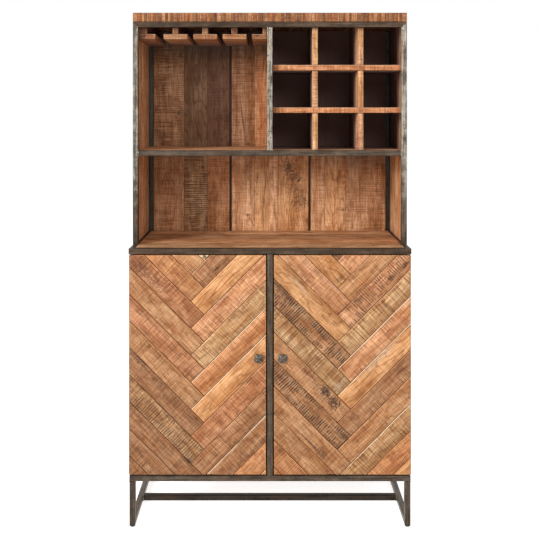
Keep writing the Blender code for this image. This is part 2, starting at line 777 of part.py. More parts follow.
def build_bottle_rack():
    """Two uprights and two shelves, cross-lapped, that part the bay into bottle cells."""
    bay_x = inset(TUBE / 2, SIDE_INNER)
    rack_y = inset(behind(HUTCH_FACE), behind(BACK_FACE))
    bay_z = inset(MIDDLE_TOP, RAIL_TOP)
    cell = (SIDE_INNER - TUBE / 2 - 2 * RACK_BOARD) / 3
    rise = (RAIL_BOTTOM - MIDDLE_TOP - 2 * RACK_BOARD) / 3
    half = RACK_BOARD / 2
    upright_places = [TUBE / 2 + n * cell + (n - 1) * RACK_BOARD + half for n in (1, 2)]
    shelf_places = [MIDDLE_TOP + n * rise + (n - 1) * RACK_BOARD + half for n in (1, 2)]
    for name, place in zip(("inner", "outer"), upright_places):
        x = (place - half, place + half)
        slotted_board(name + "_rack_upright", 2, 0, x, rack_y, bay_z, shelf_places, -1)
    for name, place in zip(("lower", "upper"), shelf_places):
        z = (place - half, place + half)
        slotted_board(name + "_rack_shelf", 0, 2, bay_x, rack_y, z, upright_places, 1)


def build_glass_rails():
    """T and L shaped rails under the top, which hold stemmed glasses by the foot."""
    bay = inset(-SIDE_INNER, -TUBE / 2)
    y = (behind(HUTCH_FACE + GLASS_SETBACK), behind(BACK_FACE) - SEAM)
    bottom = RAIL_TOP - GLASS_DROP
    shoulder = bottom + GLASS_FLANGE_THICK
    top = RAIL_TOP - SEAM
    rails = [((bay[0], bay[0] + GLASS_LEFT_FLANGE), (bay[0], bay[0] + GLASS_LEFT_WEB))]
    for share in GLASS_RAIL_SHARES:
        centre = bay[0] + (bay[1] - bay[0]) * share
        flange = (centre - GLASS_FLANGE / 2, centre + GLASS_FLANGE / 2)
        web = (centre - GLASS_WEB / 2, centre + GLASS_WEB / 2)
        rails.append((flange, web))
    rails.append(((bay[1] - GLASS_RIGHT_FLANGE, bay[1]), (bay[1] - GLASS_RIGHT_WEB, bay[1])))
    for number, (flange, web) in enumerate(rails, start=1):
        outline = [(flange[0], bottom), (flange[1], bottom)]
        if web[1] < flange[1]:
            outline += [(flange[1], shoulder), (web[1], shoulder)]
        outline += [(web[1], top), (web[0], top)]
        if web[0] > flange[0]:
            outline += [(web[0], shoulder), (flange[0], shoulder)]
        mesh_data = bmesh.new()
        join_rings(mesh_data, [[(x, depth, z) for x, z in outline] for depth in y])
        centre = (sum(flange) / 2, sum(y) / 2, bottom)
        soften(add_object(f"glass_rail_{number}", mesh_data, "teak_light", centre))


def main():
    clear_scene()
    lower_rail = build_base()
    build_glides()
    upper_rail = build_counter()
    drill_pivots(lower_rail, BASE_TOP - PIN_IN_RAIL - SEAM, BASE_TOP + OVERRUN)
    drill_pivots(upper_rail, COUNTER_BOTTOM - OVERRUN, COUNTER_BOTTOM + PIN_IN_RAIL + SEAM)
    build_carcass()
    build_door(LEFT, LEFT_SPINE_SHIFT, LEFT_SPINE_RISE, LEFT_KNOB_INSET, LEFT_KNOB_TURN)
    build_door(RIGHT, RIGHT_SPINE_SHIFT, RIGHT_SPINE_RISE, RIGHT_KNOB_INSET, RIGHT_KNOB_TURN)
    build_catch()
    build_hutch_frame()
    build_hutch_boards()
    build_bottle_rack()
    build_glass_rails()


main()
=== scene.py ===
"""Finishes, fine shapes, lights and camera of the bar cabinet, laid out as an add-on.

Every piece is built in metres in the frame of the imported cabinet: X to the right as the
doors are faced, Y from the doors to the back, Z up, with the floor at zero.
"""

import math

import bmesh
import bpy
from bpy.props import FloatProperty, FloatVectorProperty, PointerProperty
from bpy.types import Operator, Panel, PropertyGroup
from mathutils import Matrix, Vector, noise


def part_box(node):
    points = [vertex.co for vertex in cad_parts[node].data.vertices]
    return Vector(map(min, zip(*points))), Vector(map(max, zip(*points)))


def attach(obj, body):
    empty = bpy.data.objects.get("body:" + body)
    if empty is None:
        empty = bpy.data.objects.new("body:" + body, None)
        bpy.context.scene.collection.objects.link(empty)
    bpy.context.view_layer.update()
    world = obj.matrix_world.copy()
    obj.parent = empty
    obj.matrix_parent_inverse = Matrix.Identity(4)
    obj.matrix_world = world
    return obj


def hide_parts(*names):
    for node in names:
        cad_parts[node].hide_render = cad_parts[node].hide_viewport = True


bl_info = {
    "name": "Bar cabinet finishes",
    "version": (1, 0, 0),
    "blender": (4, 5, 0),
    "location": "3D View > Sidebar > Bar Cabinet",
    "description": "Builds the teak, steel, lights and camera of the bar cabinet",
    "category": "Add Mesh",
}

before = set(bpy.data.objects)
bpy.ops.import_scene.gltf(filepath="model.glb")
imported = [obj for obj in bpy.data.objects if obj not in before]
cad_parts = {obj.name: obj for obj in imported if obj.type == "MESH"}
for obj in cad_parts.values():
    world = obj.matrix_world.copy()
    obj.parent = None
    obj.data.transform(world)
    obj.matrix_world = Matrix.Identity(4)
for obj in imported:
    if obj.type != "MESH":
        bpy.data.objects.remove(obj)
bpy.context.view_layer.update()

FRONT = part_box("left_door")[0].y
HUTCH_LEFT, HUTCH_FRONT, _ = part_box("left_hutch_post")[0]
HUTCH_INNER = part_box("right_hutch_side")[0].x
MIDDLE_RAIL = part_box("front_middle_rail")
TOP_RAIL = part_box("front_hutch_top_rail")
BACK_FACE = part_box("left_back_panel")[0].y

# The three ways that planks and brushed streaks run, as axis numbers and as directions
ACROSS, DEEP, UPRIGHT = range(3)
RIGHTWARDS, BACKWARDS, UP = Vector((1, 0, 0)), Vector((0, 1, 0)), Vector((0, 0, 1))
AXES = (RIGHTWARDS, BACKWARDS, UP)
EIGHTH_TURN = math.radians(45)
SLANT = math.sqrt(0.5)
UP_LEFT = Vector((-SLANT, 0, SLANT))

# The gap between touching pieces, and how far the edges of planks are eased
SEAM = 0.0003
PLANK_EASE, PANEL_EASE, FINE_EASE = 0.0009, 0.0006, 0.0004

# How far a plank's face wanders, how often it may, and the width of a groove in the back
UNEVENNESS, BOW_STEP = 0.0004, 0.03
GROOVE = 0.0092

# How deep a mark goes into the wood, the half width at which its outline frays fully, and
# half the side of the dark end grain where the rack's boards cross
MARK_DEPTH, FRAYED_WIDTH = 0.006, 0.012
END_GRAIN = 0.0095

# Painted shade: the softness of its crisp sides, how far it reaches past the faces that
# bound it, and how far behind the front of the hutch it starts
CRISP, PAST_FACE, PAST_SIDE = 0.001, 0.002, 0.0005
CELL_SETBACK, RAIL_SETBACK, RAIL_END_SETBACK = 0.075, 0.030, 0.200

# Heights of the post screws, how far their middle stands before the post, the height of a
# head and the width of its recess
SCREW_LEVELS = (1.064, 1.353, 1.640)
SCREW_STAND, SCREW_HEIGHT, SCREW_RECESS = 0.0007, 0.0016, 0.0009

# How far weld lies inside the end of a tube, how far short of its corners it stops, and the
# distance between its short rows
WELD_INSET, WELD_SHORT, WELD_STEP = 0.0004, 0.001, 0.003

# How strongly each timber shows saw marks, black strokes and growth rings
TRAIT_SHARES = {
    "honey": (0.25, 0.0, 0.85),
    "amber": (0.45, 0.0, 0.50),
    "salmon": (0.60, 0.0, 0.30),
    "peach": (0.35, 0.0, 0.45),
    "rose": (0.60, 0.0, 0.35),
    "olive": (0.75, 0.08, 0.20),
    "khaki": (0.80, 0.50, 0.10),
    "tan": (0.50, 0.05, 0.55),
    "umber": (0.60, 0.10, 0.45),
    "cream": (0.10, 0.0, 0.25),
    "zebra": (0.70, 1.0, 0.10),
    "striped": (0.60, 0.60, 0.30),
    "walnut": (0.80, 0.10, 0.55),
    "moss": (0.15, 0.10, 0.90),
    "bark": (0.30, 0.10, 0.60),
    "groove": (0.20, 0.0, 0.0),
}

# What each figure, mark or shade multiplies the tone of the wood by
WASHES = {
    "dull": (0.76, 0.68, 0.60),
    "bright": (1.13, 1.23, 1.40),
    "reddish": (1.02, 0.84, 0.70),
    "smudge": (0.72, 0.62, 0.55),
    "ring": (0.64, 0.54, 0.47),
    "streak": (0.74, 0.68, 0.62),
    "fibre": (0.56, 0.47, 0.40),
    "cut": (0.48, 0.37, 0.29),
    "crest": (1.30, 1.34, 1.40),
    "nick": (0.50, 0.38, 0.30),
    "scratch": (0.58, 0.48, 0.41),
    "pale_edge_wash": (1.55, 1.46, 1.38),
    "dim": (0.52, 0.60, 0.72),
}

# Timber of each plank, from the lowest to the highest, on both arms of each door
LEFT_DOOR_TIMBERS = (
    "umber umber umber khaki umber tan rose tan rose amber peach".split(),
    "cream umber honey salmon olive amber honey rose umber umber amber honey".split(),
)
RIGHT_DOOR_TIMBERS = (
    "amber amber tan tan zebra tan olive zebra honey salmon honey umber".split(),
    "salmon tan striped olive salmon honey umber tan olive amber honey".split(),
)
STAVE_TIMBERS = (
    "salmon amber honey umber tan amber rose honey umber "
    "salmon walnut peach walnut tan umber amber peach".split()
)

# Dark marks on the doors: X, Z, half length, half width, lean (1 up to the right) and depth
DOOR_MARKS = (
    (-0.455, 0.912, 0.075, 0.024, -1, 0.75),
    (-0.395, 0.862, 0.050, 0.016, -1, 0.50),
    (-0.233, 0.956, 0.010, 0.009, 0, 0.95),
    (-0.187, 0.916, 0.022, 0.007, 1, 0.90),
    (-0.160, 0.935, 0.020, 0.012, 1, 0.45),
    (-0.462, 0.590, 0.052, 0.011, -1, 0.80),
    (-0.410, 0.520, 0.018, 0.010, -1, 0.60),
    (-0.290, 0.238, 0.022, 0.012, -1, 0.90),
    (-0.335, 0.290, 0.030, 0.010, -1, 0.65),
    (-0.124, 0.300, 0.006, 0.005, 0, 0.90),
    (-0.076, 0.517, 0.020, 0.004, 1, 0.85),
    (0.196, 0.480, 0.030, 0.019, -1, 1.00),
    (0.226, 0.440, 0.032, 0.019, -1, 1.00),
    (0.140, 0.540, 0.040, 0.008, -1, 0.70),
    (0.140, 0.300, 0.086, 0.004, -1, 0.85),
    (0.180, 0.262, 0.034, 0.010, -1, 0.55),
    (0.040, 0.835, 0.045, 0.018, -1, 0.80),
    (0.262, 0.320, 0.026, 0.010, -1, 0.85),
    (0.460, 0.556, 0.020, 0.011, 1, 0.60),
    (0.040, 0.275, 0.020, 0.009, -1, 0.55),
    (0.428, 0.885, 0.014, 0.010, 1, 0.80),
    (0.476, 0.926, 0.020, 0.010, 1, 0.85),
    (0.248, 0.880, 0.018, 0.010, 1, 0.70),
    (0.085, 0.900, 0.030, 0.012, -1, 0.35),
)

# Worn pale places on the doors, in the same terms
DOOR_WEAR = (
    (0.395, 0.600, 0.090, 0.011, 1, 0.75),
    (0.250, 0.505, 0.040, 0.010, 1, 0.60),
    (0.100, 0.860, 0.070, 0.008, -1, 0.55),
    (-0.175, 0.800, 0.080, 0.006, 1, 0.45),
)

# Knots, stains and cracks on the back panels, where a lean of 2 stands upright
BACK_MARKS = (
    (-0.369, 1.467, 0.010, 0.011, 0, 0.95),
    (0.080, 1.244, 0.034, 0.034, 0, 0.85),
    (0.100, 1.208, 0.024, 0.022, 0, 0.72),
    (0.120, 1.192, 0.018, 0.006, 1, 0.90),
    (0.108, 1.150, 0.034, 0.022, 0, 0.58),
    (0.124, 1.106, 0.032, 0.026, 0, 0.72),
    (0.108, 1.112, 0.004, 0.044, 0, 0.70),
    (-0.195, 1.560, 0.060, 0.006, 0, 0.45),
    (-0.086, 1.338, 0.010, 0.008, 0, 0.90),
    (-0.088, 1.050, 0.009, 0.008, 0, 0.80),
    (-0.108, 1.431, 0.090, 0.0032, 2.15, 0.95),
    (-0.078, 1.170, 0.115, 0.0026, 2.03, 0.80),
    (-0.021, 1.139, 0.140, 0.0026, 1.87, 0.75),
    (-0.073, 1.023, 0.030, 0.0026, 2.63, 0.80),
    (0.223, 1.037, 0.036, 0.0026, 2.0, 0.70),
    (0.302, 1.035, 0.036, 0.0026, 2.0, 0.70),
    (0.300, 1.070, 0.009, 0.007, 0, 0.80),
)

# Dark places on the fronts of the glass rails; the first is painted shadow, the left post's
# shadow on the left end of the first rail
RAIL_MARKS = (
    (-0.476, 1.738, 0.016, 0.020, 0, 0.95),
    (-0.046, 1.748, 0.009, 0.005, 0, 0.95),
    (-0.128, 1.767, 0.007, 0.012, 0, 0.90),
    (-0.280, 1.742, 0.020, 0.004, 0, 0.50),
)


def linear(red, green, blue):
    """The linear colour that shaders take, from screen levels of 0 to 255."""
    levels = []
    for level in (red / 255, green / 255, blue / 255):
        levels.append(level / 12.92 if level <= 0.04045 else ((level + 0.055) / 1.055) ** 2.4)
    return tuple(levels)


def colour(name, description, *levels):
    shade = linear(*levels)
    return FloatVectorProperty(
        name=name, description=description, subtype="COLOR", size=3, min=0, max=1, default=shade
    )


def setting(name, description, default, **options):
    return FloatProperty(name=name, description=description, default=default, **options)


def length(name, description, default):
    return setting(name, description, default, unit="LENGTH", precision=5)


def share(name, description, default):
    return setting(name, description, default, subtype="FACTOR")


class BarCabinetTimber(PropertyGroup):
    """Colours of the teak planks and the marks on them."""

    honey: colour("Honey", "Bright golden planks", 228, 168, 113)
    amber: colour("Amber", "Orange planks", 214, 150, 100)
    salmon: colour("Salmon", "Pale pinkish orange planks", 226, 165, 119)
    peach: colour("Peach", "Pale planks", 238, 180, 130)
    rose: colour("Rose", "Reddish brown planks", 204, 143, 100)
    olive: colour("Olive", "Greenish tan planks", 208, 162, 114)
    khaki: colour("Khaki", "Dull greenish planks", 201, 154, 108)
    tan: colour("Tan", "Tan planks", 212, 157, 110)
    umber: colour("Umber", "Brown planks", 186, 135, 94)
    cream: colour("Cream", "The palest offcuts", 250, 226, 186)
    zebra: colour("Zebra", "Ground of the planks with black strokes", 198, 146, 102)
    striped: colour("Striped", "Ground of the planks with fewer strokes", 212, 154, 110)
    walnut: colour("Walnut", "Dark brown planks", 188, 139, 97)
    moss: colour("Moss", "Dark greenish planks", 139, 103, 71)
    bark: colour("Bark", "The darkest planks", 128, 89, 62)
    ink: colour("Ink", "Black strokes and knots", 52, 40, 33)
    stain: colour("Stain", "Brown stains and strokes", 86, 54, 36)
    # The worn edge colour is wear, and also painted highlight on edges that face the light
    worn: colour("Worn edge", "Sanded edges of the planks", 255, 230, 196)
    faded: colour("Faded", "Grey worn patches", 226, 206, 180)
    # Dirt in the joints, and also painted shade on edges that face away from the light
    grime_and_shade: colour("Grime", "Dirt in the joints", 52, 34, 24)
    groove: colour("Groove", "The dark strips between the back panels", 62, 42, 32)
    # Painted shade: the dark grey of the wood deep in the cells and above the glass rails
    painted_shade: colour("Soot", "Dark stain deep in the bottle cells", 142, 114, 104)
    drift: length("Grain drift", "How far the grain wanders across a plank", 0.012)
    ring_count: setting("Rings", "Growth rings in one figure", 20)
    relief: length("Relief", "Depth of saw marks and open grain", 0.0006)
    tooth: length("Saw pitch", "Distance between two black saw strokes", 0.0085)


class BarCabinetSteel(PropertyGroup):
    """Colours of the patinated steel, and sizes of its welds and screws."""

    dark: colour("Dark patina", "Rails and legs", 62, 52, 43)
    brushed: colour("Brushed", "Brushed streaks on the dark patina", 106, 92, 78)
    brown: colour("Brown patina", "The top and counter rails", 54, 42, 33)
    tawny: colour("Tawny", "Streaks on the top and counter rails", 94, 77, 61)
    runner: colour("Runner", "Top faces that the light catches", 120, 112, 101)
    silver: colour("Silver", "Posts of the hutch", 88, 80, 70)
    polished: colour("Polished", "Bright streaks on the posts", 170, 162, 149)
    pit: colour("Pits", "Pits and scratches", 34, 29, 25)
    rear: colour("Rear posts", "Steel in the back corners", 80, 80, 75)
    bead_radius: length("Weld bead", "Radius of one drop of weld", 0.0017)
    bead_pitch: length("Bead pitch", "Distance between two drops of weld", 0.0013)
    screw_radius: length("Screw head", "Radius of the post screws", 0.0038)


class BarCabinetDoors(PropertyGroup):
    """Sizes of the herringbone facing."""

    plank_width: length("Plank width", "Width of one herringbone plank", 0.0674)
    joint: length("Joint", "Gap between two planks", 0.0018)
    chamfer: length("Chamfer", "Worn edge round each plank", 0.0018)
    plank_thick: length("Plank thickness", "Thickness of the facing", 0.0077)
    proud: length("Unevenness", "How far planks stand proud of each other", 0.00035)
    waviness: length("Waviness", "How far the joints wander", 0.0040)
    left_rise: length("Left spine", "Height of the left door's lowest joint", 0.0405)
    right_rise: length("Right spine", "Height of the right door's lowest joint", 0.0877)
    right_shift: length("Right shift", "How far the right door's spine lies off its middle", 0.0065)
    sheen: share("Sheen", "How much paler the planks look that rise to the right", 0.07)


class BarCabinetStage(PropertyGroup):
    """Camera, lamps and floor."""

    distance: length("Camera distance", "From the door faces to the camera", 2.5)
    camera_x: length("Camera X", "Sideways place of the camera", -0.0106)
    camera_z: length("Camera height", "Height of the camera", 1.4715)
    lens: setting("Lens", "Focal length", 47.15, unit="CAMERA")
    shift_x: setting("Shift X", "Sideways shift of the frame", 0.0056)
    shift_y: setting("Shift Y", "Upward shift of the frame", -0.2944)
    key_power: setting("Key lamp", "Lamp from the left", 300, unit="POWER")
    fill_power: setting("Fill lamp", "Lamp by the camera", 60, unit="POWER")
    world: share("Daylight", "Strength of the surrounding light", 0.30)
    floor: colour("Floor", "Colour of the floor", 238, 238, 236)


class BarCabinetSettings(PropertyGroup):
    """All sizes and colours of the cabinet's finish."""

    timber: PointerProperty(type=BarCabinetTimber)
    steel: PointerProperty(type=BarCabinetSteel)
    doors: PointerProperty(type=BarCabinetDoors)
    stage: PointerProperty(type=BarCabinetStage)


class Nodes:
    """Short calls for building a node tree."""

    def __init__(self, tree):
        self.tree = tree

    def feed(self, socket, value):
        """Links a socket to another, or sets a plain value on it."""
        if isinstance(value, bpy.types.NodeSocket):
            self.tree.links.new(value, socket)
        else:
            socket.default_value = value

    def add(self, kind, inputs=None, **settings):
        node = self.tree.nodes.new(kind)
        for key, value in settings.items():
            setattr(node, key, value)
        for key, value in (inputs or {}).items():
            self.feed(node.inputs[key], value)
        return node

    def calc(self, operation, *values):
        inputs = dict(enumerate(values))
        return self.add("ShaderNodeMath", inputs, operation=operation).outputs[0]

    def times(self, value, *others):
        """The product of two or more values."""
        for other in others:
            value = self.calc("MULTIPLY", value, other)
        return value

    def swing(self, value, reach):
        """Turns a value of 0 to 1 into one of minus reach to plus reach."""
        return self.calc("MULTIPLY_ADD", value, 2 * reach, -reach)

    def vector(self, operation, *values):
        node = self.add("ShaderNodeVectorMath", dict(enumerate(values)), operation=operation)
        return node.outputs["Value" if operation == "LENGTH" else "Vector"]

    def join(self, x, y, z):
        return self.add("ShaderNodeCombineXYZ", {"X": x, "Y": y, "Z": z}).outputs[0]

    def split(self, value):
        return self.add("ShaderNodeSeparateXYZ", {0: value}).outputs[:3]

    def spread(self, value, low, high, start=0.0, end=1.0):
        """A smooth step from start to end while value goes from low to high."""
        node = self.add("ShaderNodeMapRange", interpolation_type="SMOOTHSTEP")
        for socket, amount in zip(node.inputs, (value, low, high, start, end)):
            self.feed(socket, amount)
        return node.outputs["Result"]

    def noise(self, place, scale, detail=2.0, roughness=0.5):
        """Noise with about scale features to the metre, along each axis or along all."""
        if isinstance(scale, (int, float)):
            scale = (scale, scale, scale)
        stretched = self.vector("MULTIPLY", place, scale)
        inputs = {"Vector": stretched, "Scale": 1.0, "Detail": detail, "Roughness": roughness}
        return self.add("ShaderNodeTexNoise", inputs).outputs[0]

    def patches(self, place, scale, detail, low, high, start=0.0, end=1.0, roughness=0.5):
        """Soft patches of noise: start where it lies under low, end where it lies over high."""
        return self.spread(self.noise(place, scale, detail, roughness), low, high, start, end)

    def seen_directly(self):
        """One for the rays that show the background as it is, and zero for its light."""
        path = self.add("ShaderNodeLightPath").outputs
        seen = self.calc("MAXIMUM", path["Is Camera Ray"], path["Is Glossy Ray"])
        return self.calc("MAXIMUM", seen, path["Is Transmission Ray"])


class Shader(Nodes):
    """One node material, and short calls for what only materials need."""

    def __init__(self, name):
        self.material = bpy.data.materials.new(name)
        self.material.use_nodes = True
        super().__init__(self.material.node_tree)
        self.surface = self.tree.nodes["Principled BSDF"].inputs
        self.place = self.add("ShaderNodeTexCoord").outputs["Object"]

    def mix(self, factor, first, second, blend="MIX"):
        node = self.add("ShaderNodeMix", data_type="RGBA", blend_type=blend)
        sockets = {socket.identifier: socket for socket in node.inputs}
        self.feed(sockets["Factor_Float"], factor)
        for key, value in (("A_Color", first), ("B_Color", second)):
            plain = not isinstance(value, bpy.types.NodeSocket)
            self.feed(sockets[key], (*value, 1) if plain else value)
        return [socket for socket in node.outputs if socket.identifier == "Result_Color"][0]

    def tint(self, factor, base, filter_colour):
        """Multiplies a colour by a filter, as far as factor says."""
        return self.mix(factor, base, filter_colour, "MULTIPLY")

    def attribute(self, name, output="Color"):
        return self.add("ShaderNodeAttribute", attribute_name=name).outputs[output]

    def finish(self, base, roughness, height, depth, metallic=0.0):
        """Gives the surface its colour, roughness and relief, and ends the material."""
        relief = {"Height": height, "Distance": depth, "Strength": 0.5}
        normal = self.add("ShaderNodeBump", relief).outputs[0]
        self.feed(self.surface["Base Color"], base)
        self.feed(self.surface["Roughness"], roughness)
        self.feed(self.surface["Normal"], normal)
        self.surface["Metallic"].default_value = metallic
        return self.material


class Teak(Shader):
    """Reclaimed teak, laid down in layers from the grown wood to the dirt on it, and to the
    painted highlight and painted shade.
    """

    def __init__(self, name, cast, sawing):
        super().__init__(name)
        self.look = bpy.context.scene.bar_cabinet.timber
        self.grain = self.add("ShaderNodeUVMap", uv_map="grain").outputs[0]
        self.base = self.tint(1.0, self.attribute("timber"), cast)
        self.saw, self.strokes, self.rings = self.split(self.attribute("traits"))
        if sawing < 1:
            self.saw = self.times(self.saw, sawing)

    def wash(self, factor, name):
        """Multiplies the wood by one of the washes, as far as factor says."""
        self.base = self.tint(factor, self.base, WASHES[name])

    def cover(self, factor, colour_value):
        """Lays a colour over the wood, as far as factor says."""
        self.base = self.mix(factor, self.base, colour_value)

    def grow(self):
        """Pale and dark wood, growth rings, streaks and fibres, which wander a little."""
        sideways = self.swing(self.noise(self.grain, (3.5, 14, 1), 2), self.look.drift)
        bent = self.vector("ADD", self.grain, self.join(0.0, sideways, 0.0))
        shade = self.patches(bent, (7, 22, 1), 4, 0.36, 0.64, roughness=0.6)
        dull, bright = (self.tint(1.0, self.base, WASHES[key]) for key in ("dull", "bright"))
        self.base = self.mix(shade, dull, bright)
        hue = self.patches(bent, (5, 34, 1), 2, 0.42, 0.64)
        self.wash(self.times(hue, 0.40), "reddish")
        self.wash(self.patches(bent, (17, 34, 1), 4, 0.50, 0.64, 0.0, 0.85, 0.65), "smudge")
        contour = self.noise(bent, (2.0, 11, 1), 1.6)
        wave = self.calc("SINE", self.times(contour, math.tau * self.look.ring_count))
        self.wash(self.times(self.spread(wave, 0.72, 1.0), self.rings), "ring")
        streak = self.patches(bent, (4, 130, 1), 4, 0.36, 0.66, roughness=0.6)
        self.base = self.mix(streak, self.tint(1.0, self.base, WASHES["streak"]), self.base)
        self.fibre = self.noise(bent, (18, 330, 1), 2)
        self.wash(self.spread(self.fibre, 0.50, 0.68, 0.0, 0.8), "fibre")

    def saw_marks(self):
        """Saw cuts across the grain with pale crests between them, nicks and scratches."""
        comb = self.noise(self.grain, (220, 8, 1), 1.5)
        sawn = self.patches(self.grain, (8, 17, 1), 2, 0.32, 0.56, 0.2, 1.0)
        bite = self.times(sawn, self.saw)
        self.cut = self.times(self.spread(comb, 0.49, 0.60), bite)
        self.wash(self.cut, "cut")
        self.wash(self.times(self.spread(comb, 0.45, 0.36), bite), "crest")
        nicks = self.patches(self.grain, (105, 26, 1), 2, 0.54, 0.64, roughness=0.6)
        nicked = self.patches(self.grain, (11, 24, 1), 2, 0.42, 0.60, 0.0, 0.9)
        self.wash(self.times(nicked, self.saw, nicks), "nick")
        scratches = self.patches(self.grain, (330, 12, 1), 1, 0.52, 0.66, 0.0, 0.8)
        self.wash(self.times(scratches, self.saw), "scratch")

    def black_strokes(self):
        """Black strokes across the grain, one saw tooth apart, in ragged rows."""
        along = self.split(self.grain)[0]
        bend = self.times(self.noise(self.grain, (14, 12, 1), 2), 9.0)
        turns = self.calc("MULTIPLY_ADD", along, math.tau / self.look.tooth, bend)
        uneven = self.swing(self.noise(self.grain, (150, 28, 1), 2, 0.6), 2.5)
        bars = self.spread(self.calc("ADD", self.calc("SINE", turns), uneven), 0.15, 0.65)
        barred = self.patches(self.grain, (7, 30, 1), 3, 0.42, 0.52)
        bar = self.times(bars, barred, self.strokes)
        self.cover(self.times(bar, 0.9), self.look.stain)
        blackest = self.patches(self.grain, (16, 18, 1), 2, 0.34, 0.50, 0.2, 1.0)
        self.cover(self.times(bar, blackest), self.look.ink)

    def marked(self, marks, breakup, front):
        """How much of a mark lies at a place: the strongest of all the marks there.

        Marks lie on the face whose Y is front, and don't go through the wood. Breakup frays
        their outlines, small ones less.
        """
        total = 0.0
        for x, z, half_length, half_width, lean, depth in marks:
            local = self.add("ShaderNodeMapping", {"Vector": self.place}, vector_type="TEXTURE")
            local.inputs["Location"].default_value = (x, front, z)
            local.inputs["Rotation"].default_value = (0, -lean * EIGHTH_TURN, 0)
            local.inputs["Scale"].default_value = (half_length, MARK_DEPTH, half_width)
            ragged = self.times(breakup, min(1.0, half_width / FRAYED_WIDTH))
            reach = self.calc("ADD", self.vector("LENGTH", local.outputs[0]), ragged)
            total = self.calc("MAXIMUM", self.spread(reach, 1.15, 0.45, 0.0, depth), total)
        return total

    def knots_and_wear(self, marks, wear, front):
        """Dark knots and stains, and pale worn places."""
        breakup = self.swing(self.noise(self.place, 140, 5, 0.75), 2.5)
        if marks:
            depth = self.marked(marks, breakup, front)
            grainy = self.patches(self.grain, (210, 60, 1), 3, 0.38, 0.58, 0.35, 1.0, 0.6)
            self.cover(self.times(depth, grainy), self.look.stain)
            self.cover(self.spread(depth, 0.80, 1.0, 0.0, 0.6), self.look.ink)
        if wear:
            patchy = self.patches(self.grain, (60, 260, 1), 3, 0.36, 0.62, 0.10, 0.75, 0.6)
            worn = self.times(self.marked(wear, breakup, front), patchy)
            self.cover(worn, self.look.faded)

    def edges(self):
        """Pale and dark edges, as the edge value of each face says: wear and dirt, and where
        the value follows the way an edge faces, painted highlight and painted shade.
        """
        edge_patches = self.patches(self.place, 22, 2, 0.34, 0.52, 0.15, 1.0)
        edge = self.attribute("edge", "Fac")
        pale_edge_wash = self.tint(1.0, self.base, WASHES["pale_edge_wash"])
        self.cover(self.times(self.spread(edge, 0.0, 0.5), edge_patches), pale_edge_wash)
        self.cover(self.times(self.spread(edge, 0.45, 1.1), edge_patches), self.look.worn)
        self.cover(self.spread(edge, 0.0, -1.0), self.look.grime_and_shade)

    def within(self, boxes):
        """One inside any of some boxes, fading to zero outside over soft edges.

        A box is its low and high corners, the softness of each axis at its low side, and
        the same at its high side where that differs.
        """
        total = 0.0
        for low, high, *soft in boxes:
            outside = []
            for ends, softness in (((low, self.place), soft[0]), ((self.place, high), soft[-1])):
                gap = self.vector("MAXIMUM", self.vector("SUBTRACT", *ends), (0, 0, 0))
                outside.append(self.vector("DIVIDE", gap, softness))
            distance = self.vector("LENGTH", self.vector("ADD", *outside))
            total = self.calc("MAXIMUM", self.spread(distance, 1.0, 0.0), total)
        return total


def teak_material(
    name, marks=(), wear=(), painted_shade=(), dim=(), cast=(1.0, 1.0, 1.0), sawing=1.0, front=FRONT
):
    """Reclaimed teak: growth rings, streaks, saw marks, black strokes, pale and dark edges.

    Cast multiplies the timbers' tones, for teak under a stain or bleached as a whole, and
    on some boards as painted light; sawing is how much of the saw marks the sanding left.
    Two lists of boxes lay painted shade: one turns the wood dark grey where deep shade
    falls, and dim lays a soft shade. Front is the Y of the face with the marks.
    """
    teak = Teak(name, cast, sawing)
    teak.grow()
    teak.saw_marks()
    teak.black_strokes()
    if marks or wear:
        teak.knots_and_wear(marks, wear, front)
    teak.edges()
    if dim:
        teak.wash(teak.within(dim), "dim")
    rough = teak.patches(teak.grain, (18, 90, 1), 3, 0.3, 0.7, 0.50, 0.70)
    gloss = 0.32
    # Painted shade: in its boxes the wood turns dark grey, rougher and less glossy
    if painted_shade:
        deep_shade = teak.within(painted_shade)
        teak.cover(deep_shade, teak.look.painted_shade)
        rough = teak.calc("MULTIPLY_ADD", deep_shade, 0.25, rough)
        gloss = teak.calc("MULTIPLY_ADD", deep_shade, -0.28, gloss)
    teak.feed(teak.surface["Specular IOR Level"], gloss)
    height = teak.calc("MULTIPLY_ADD", teak.cut, -0.8, teak.fibre)
    return teak.finish(teak.base, rough, height, teak.look.relief)


def streak_scale(run, across, lengthwise):
    """The scale of noise that is drawn out along one axis."""
    return [lengthwise if axis == run else across for axis in range(3)]


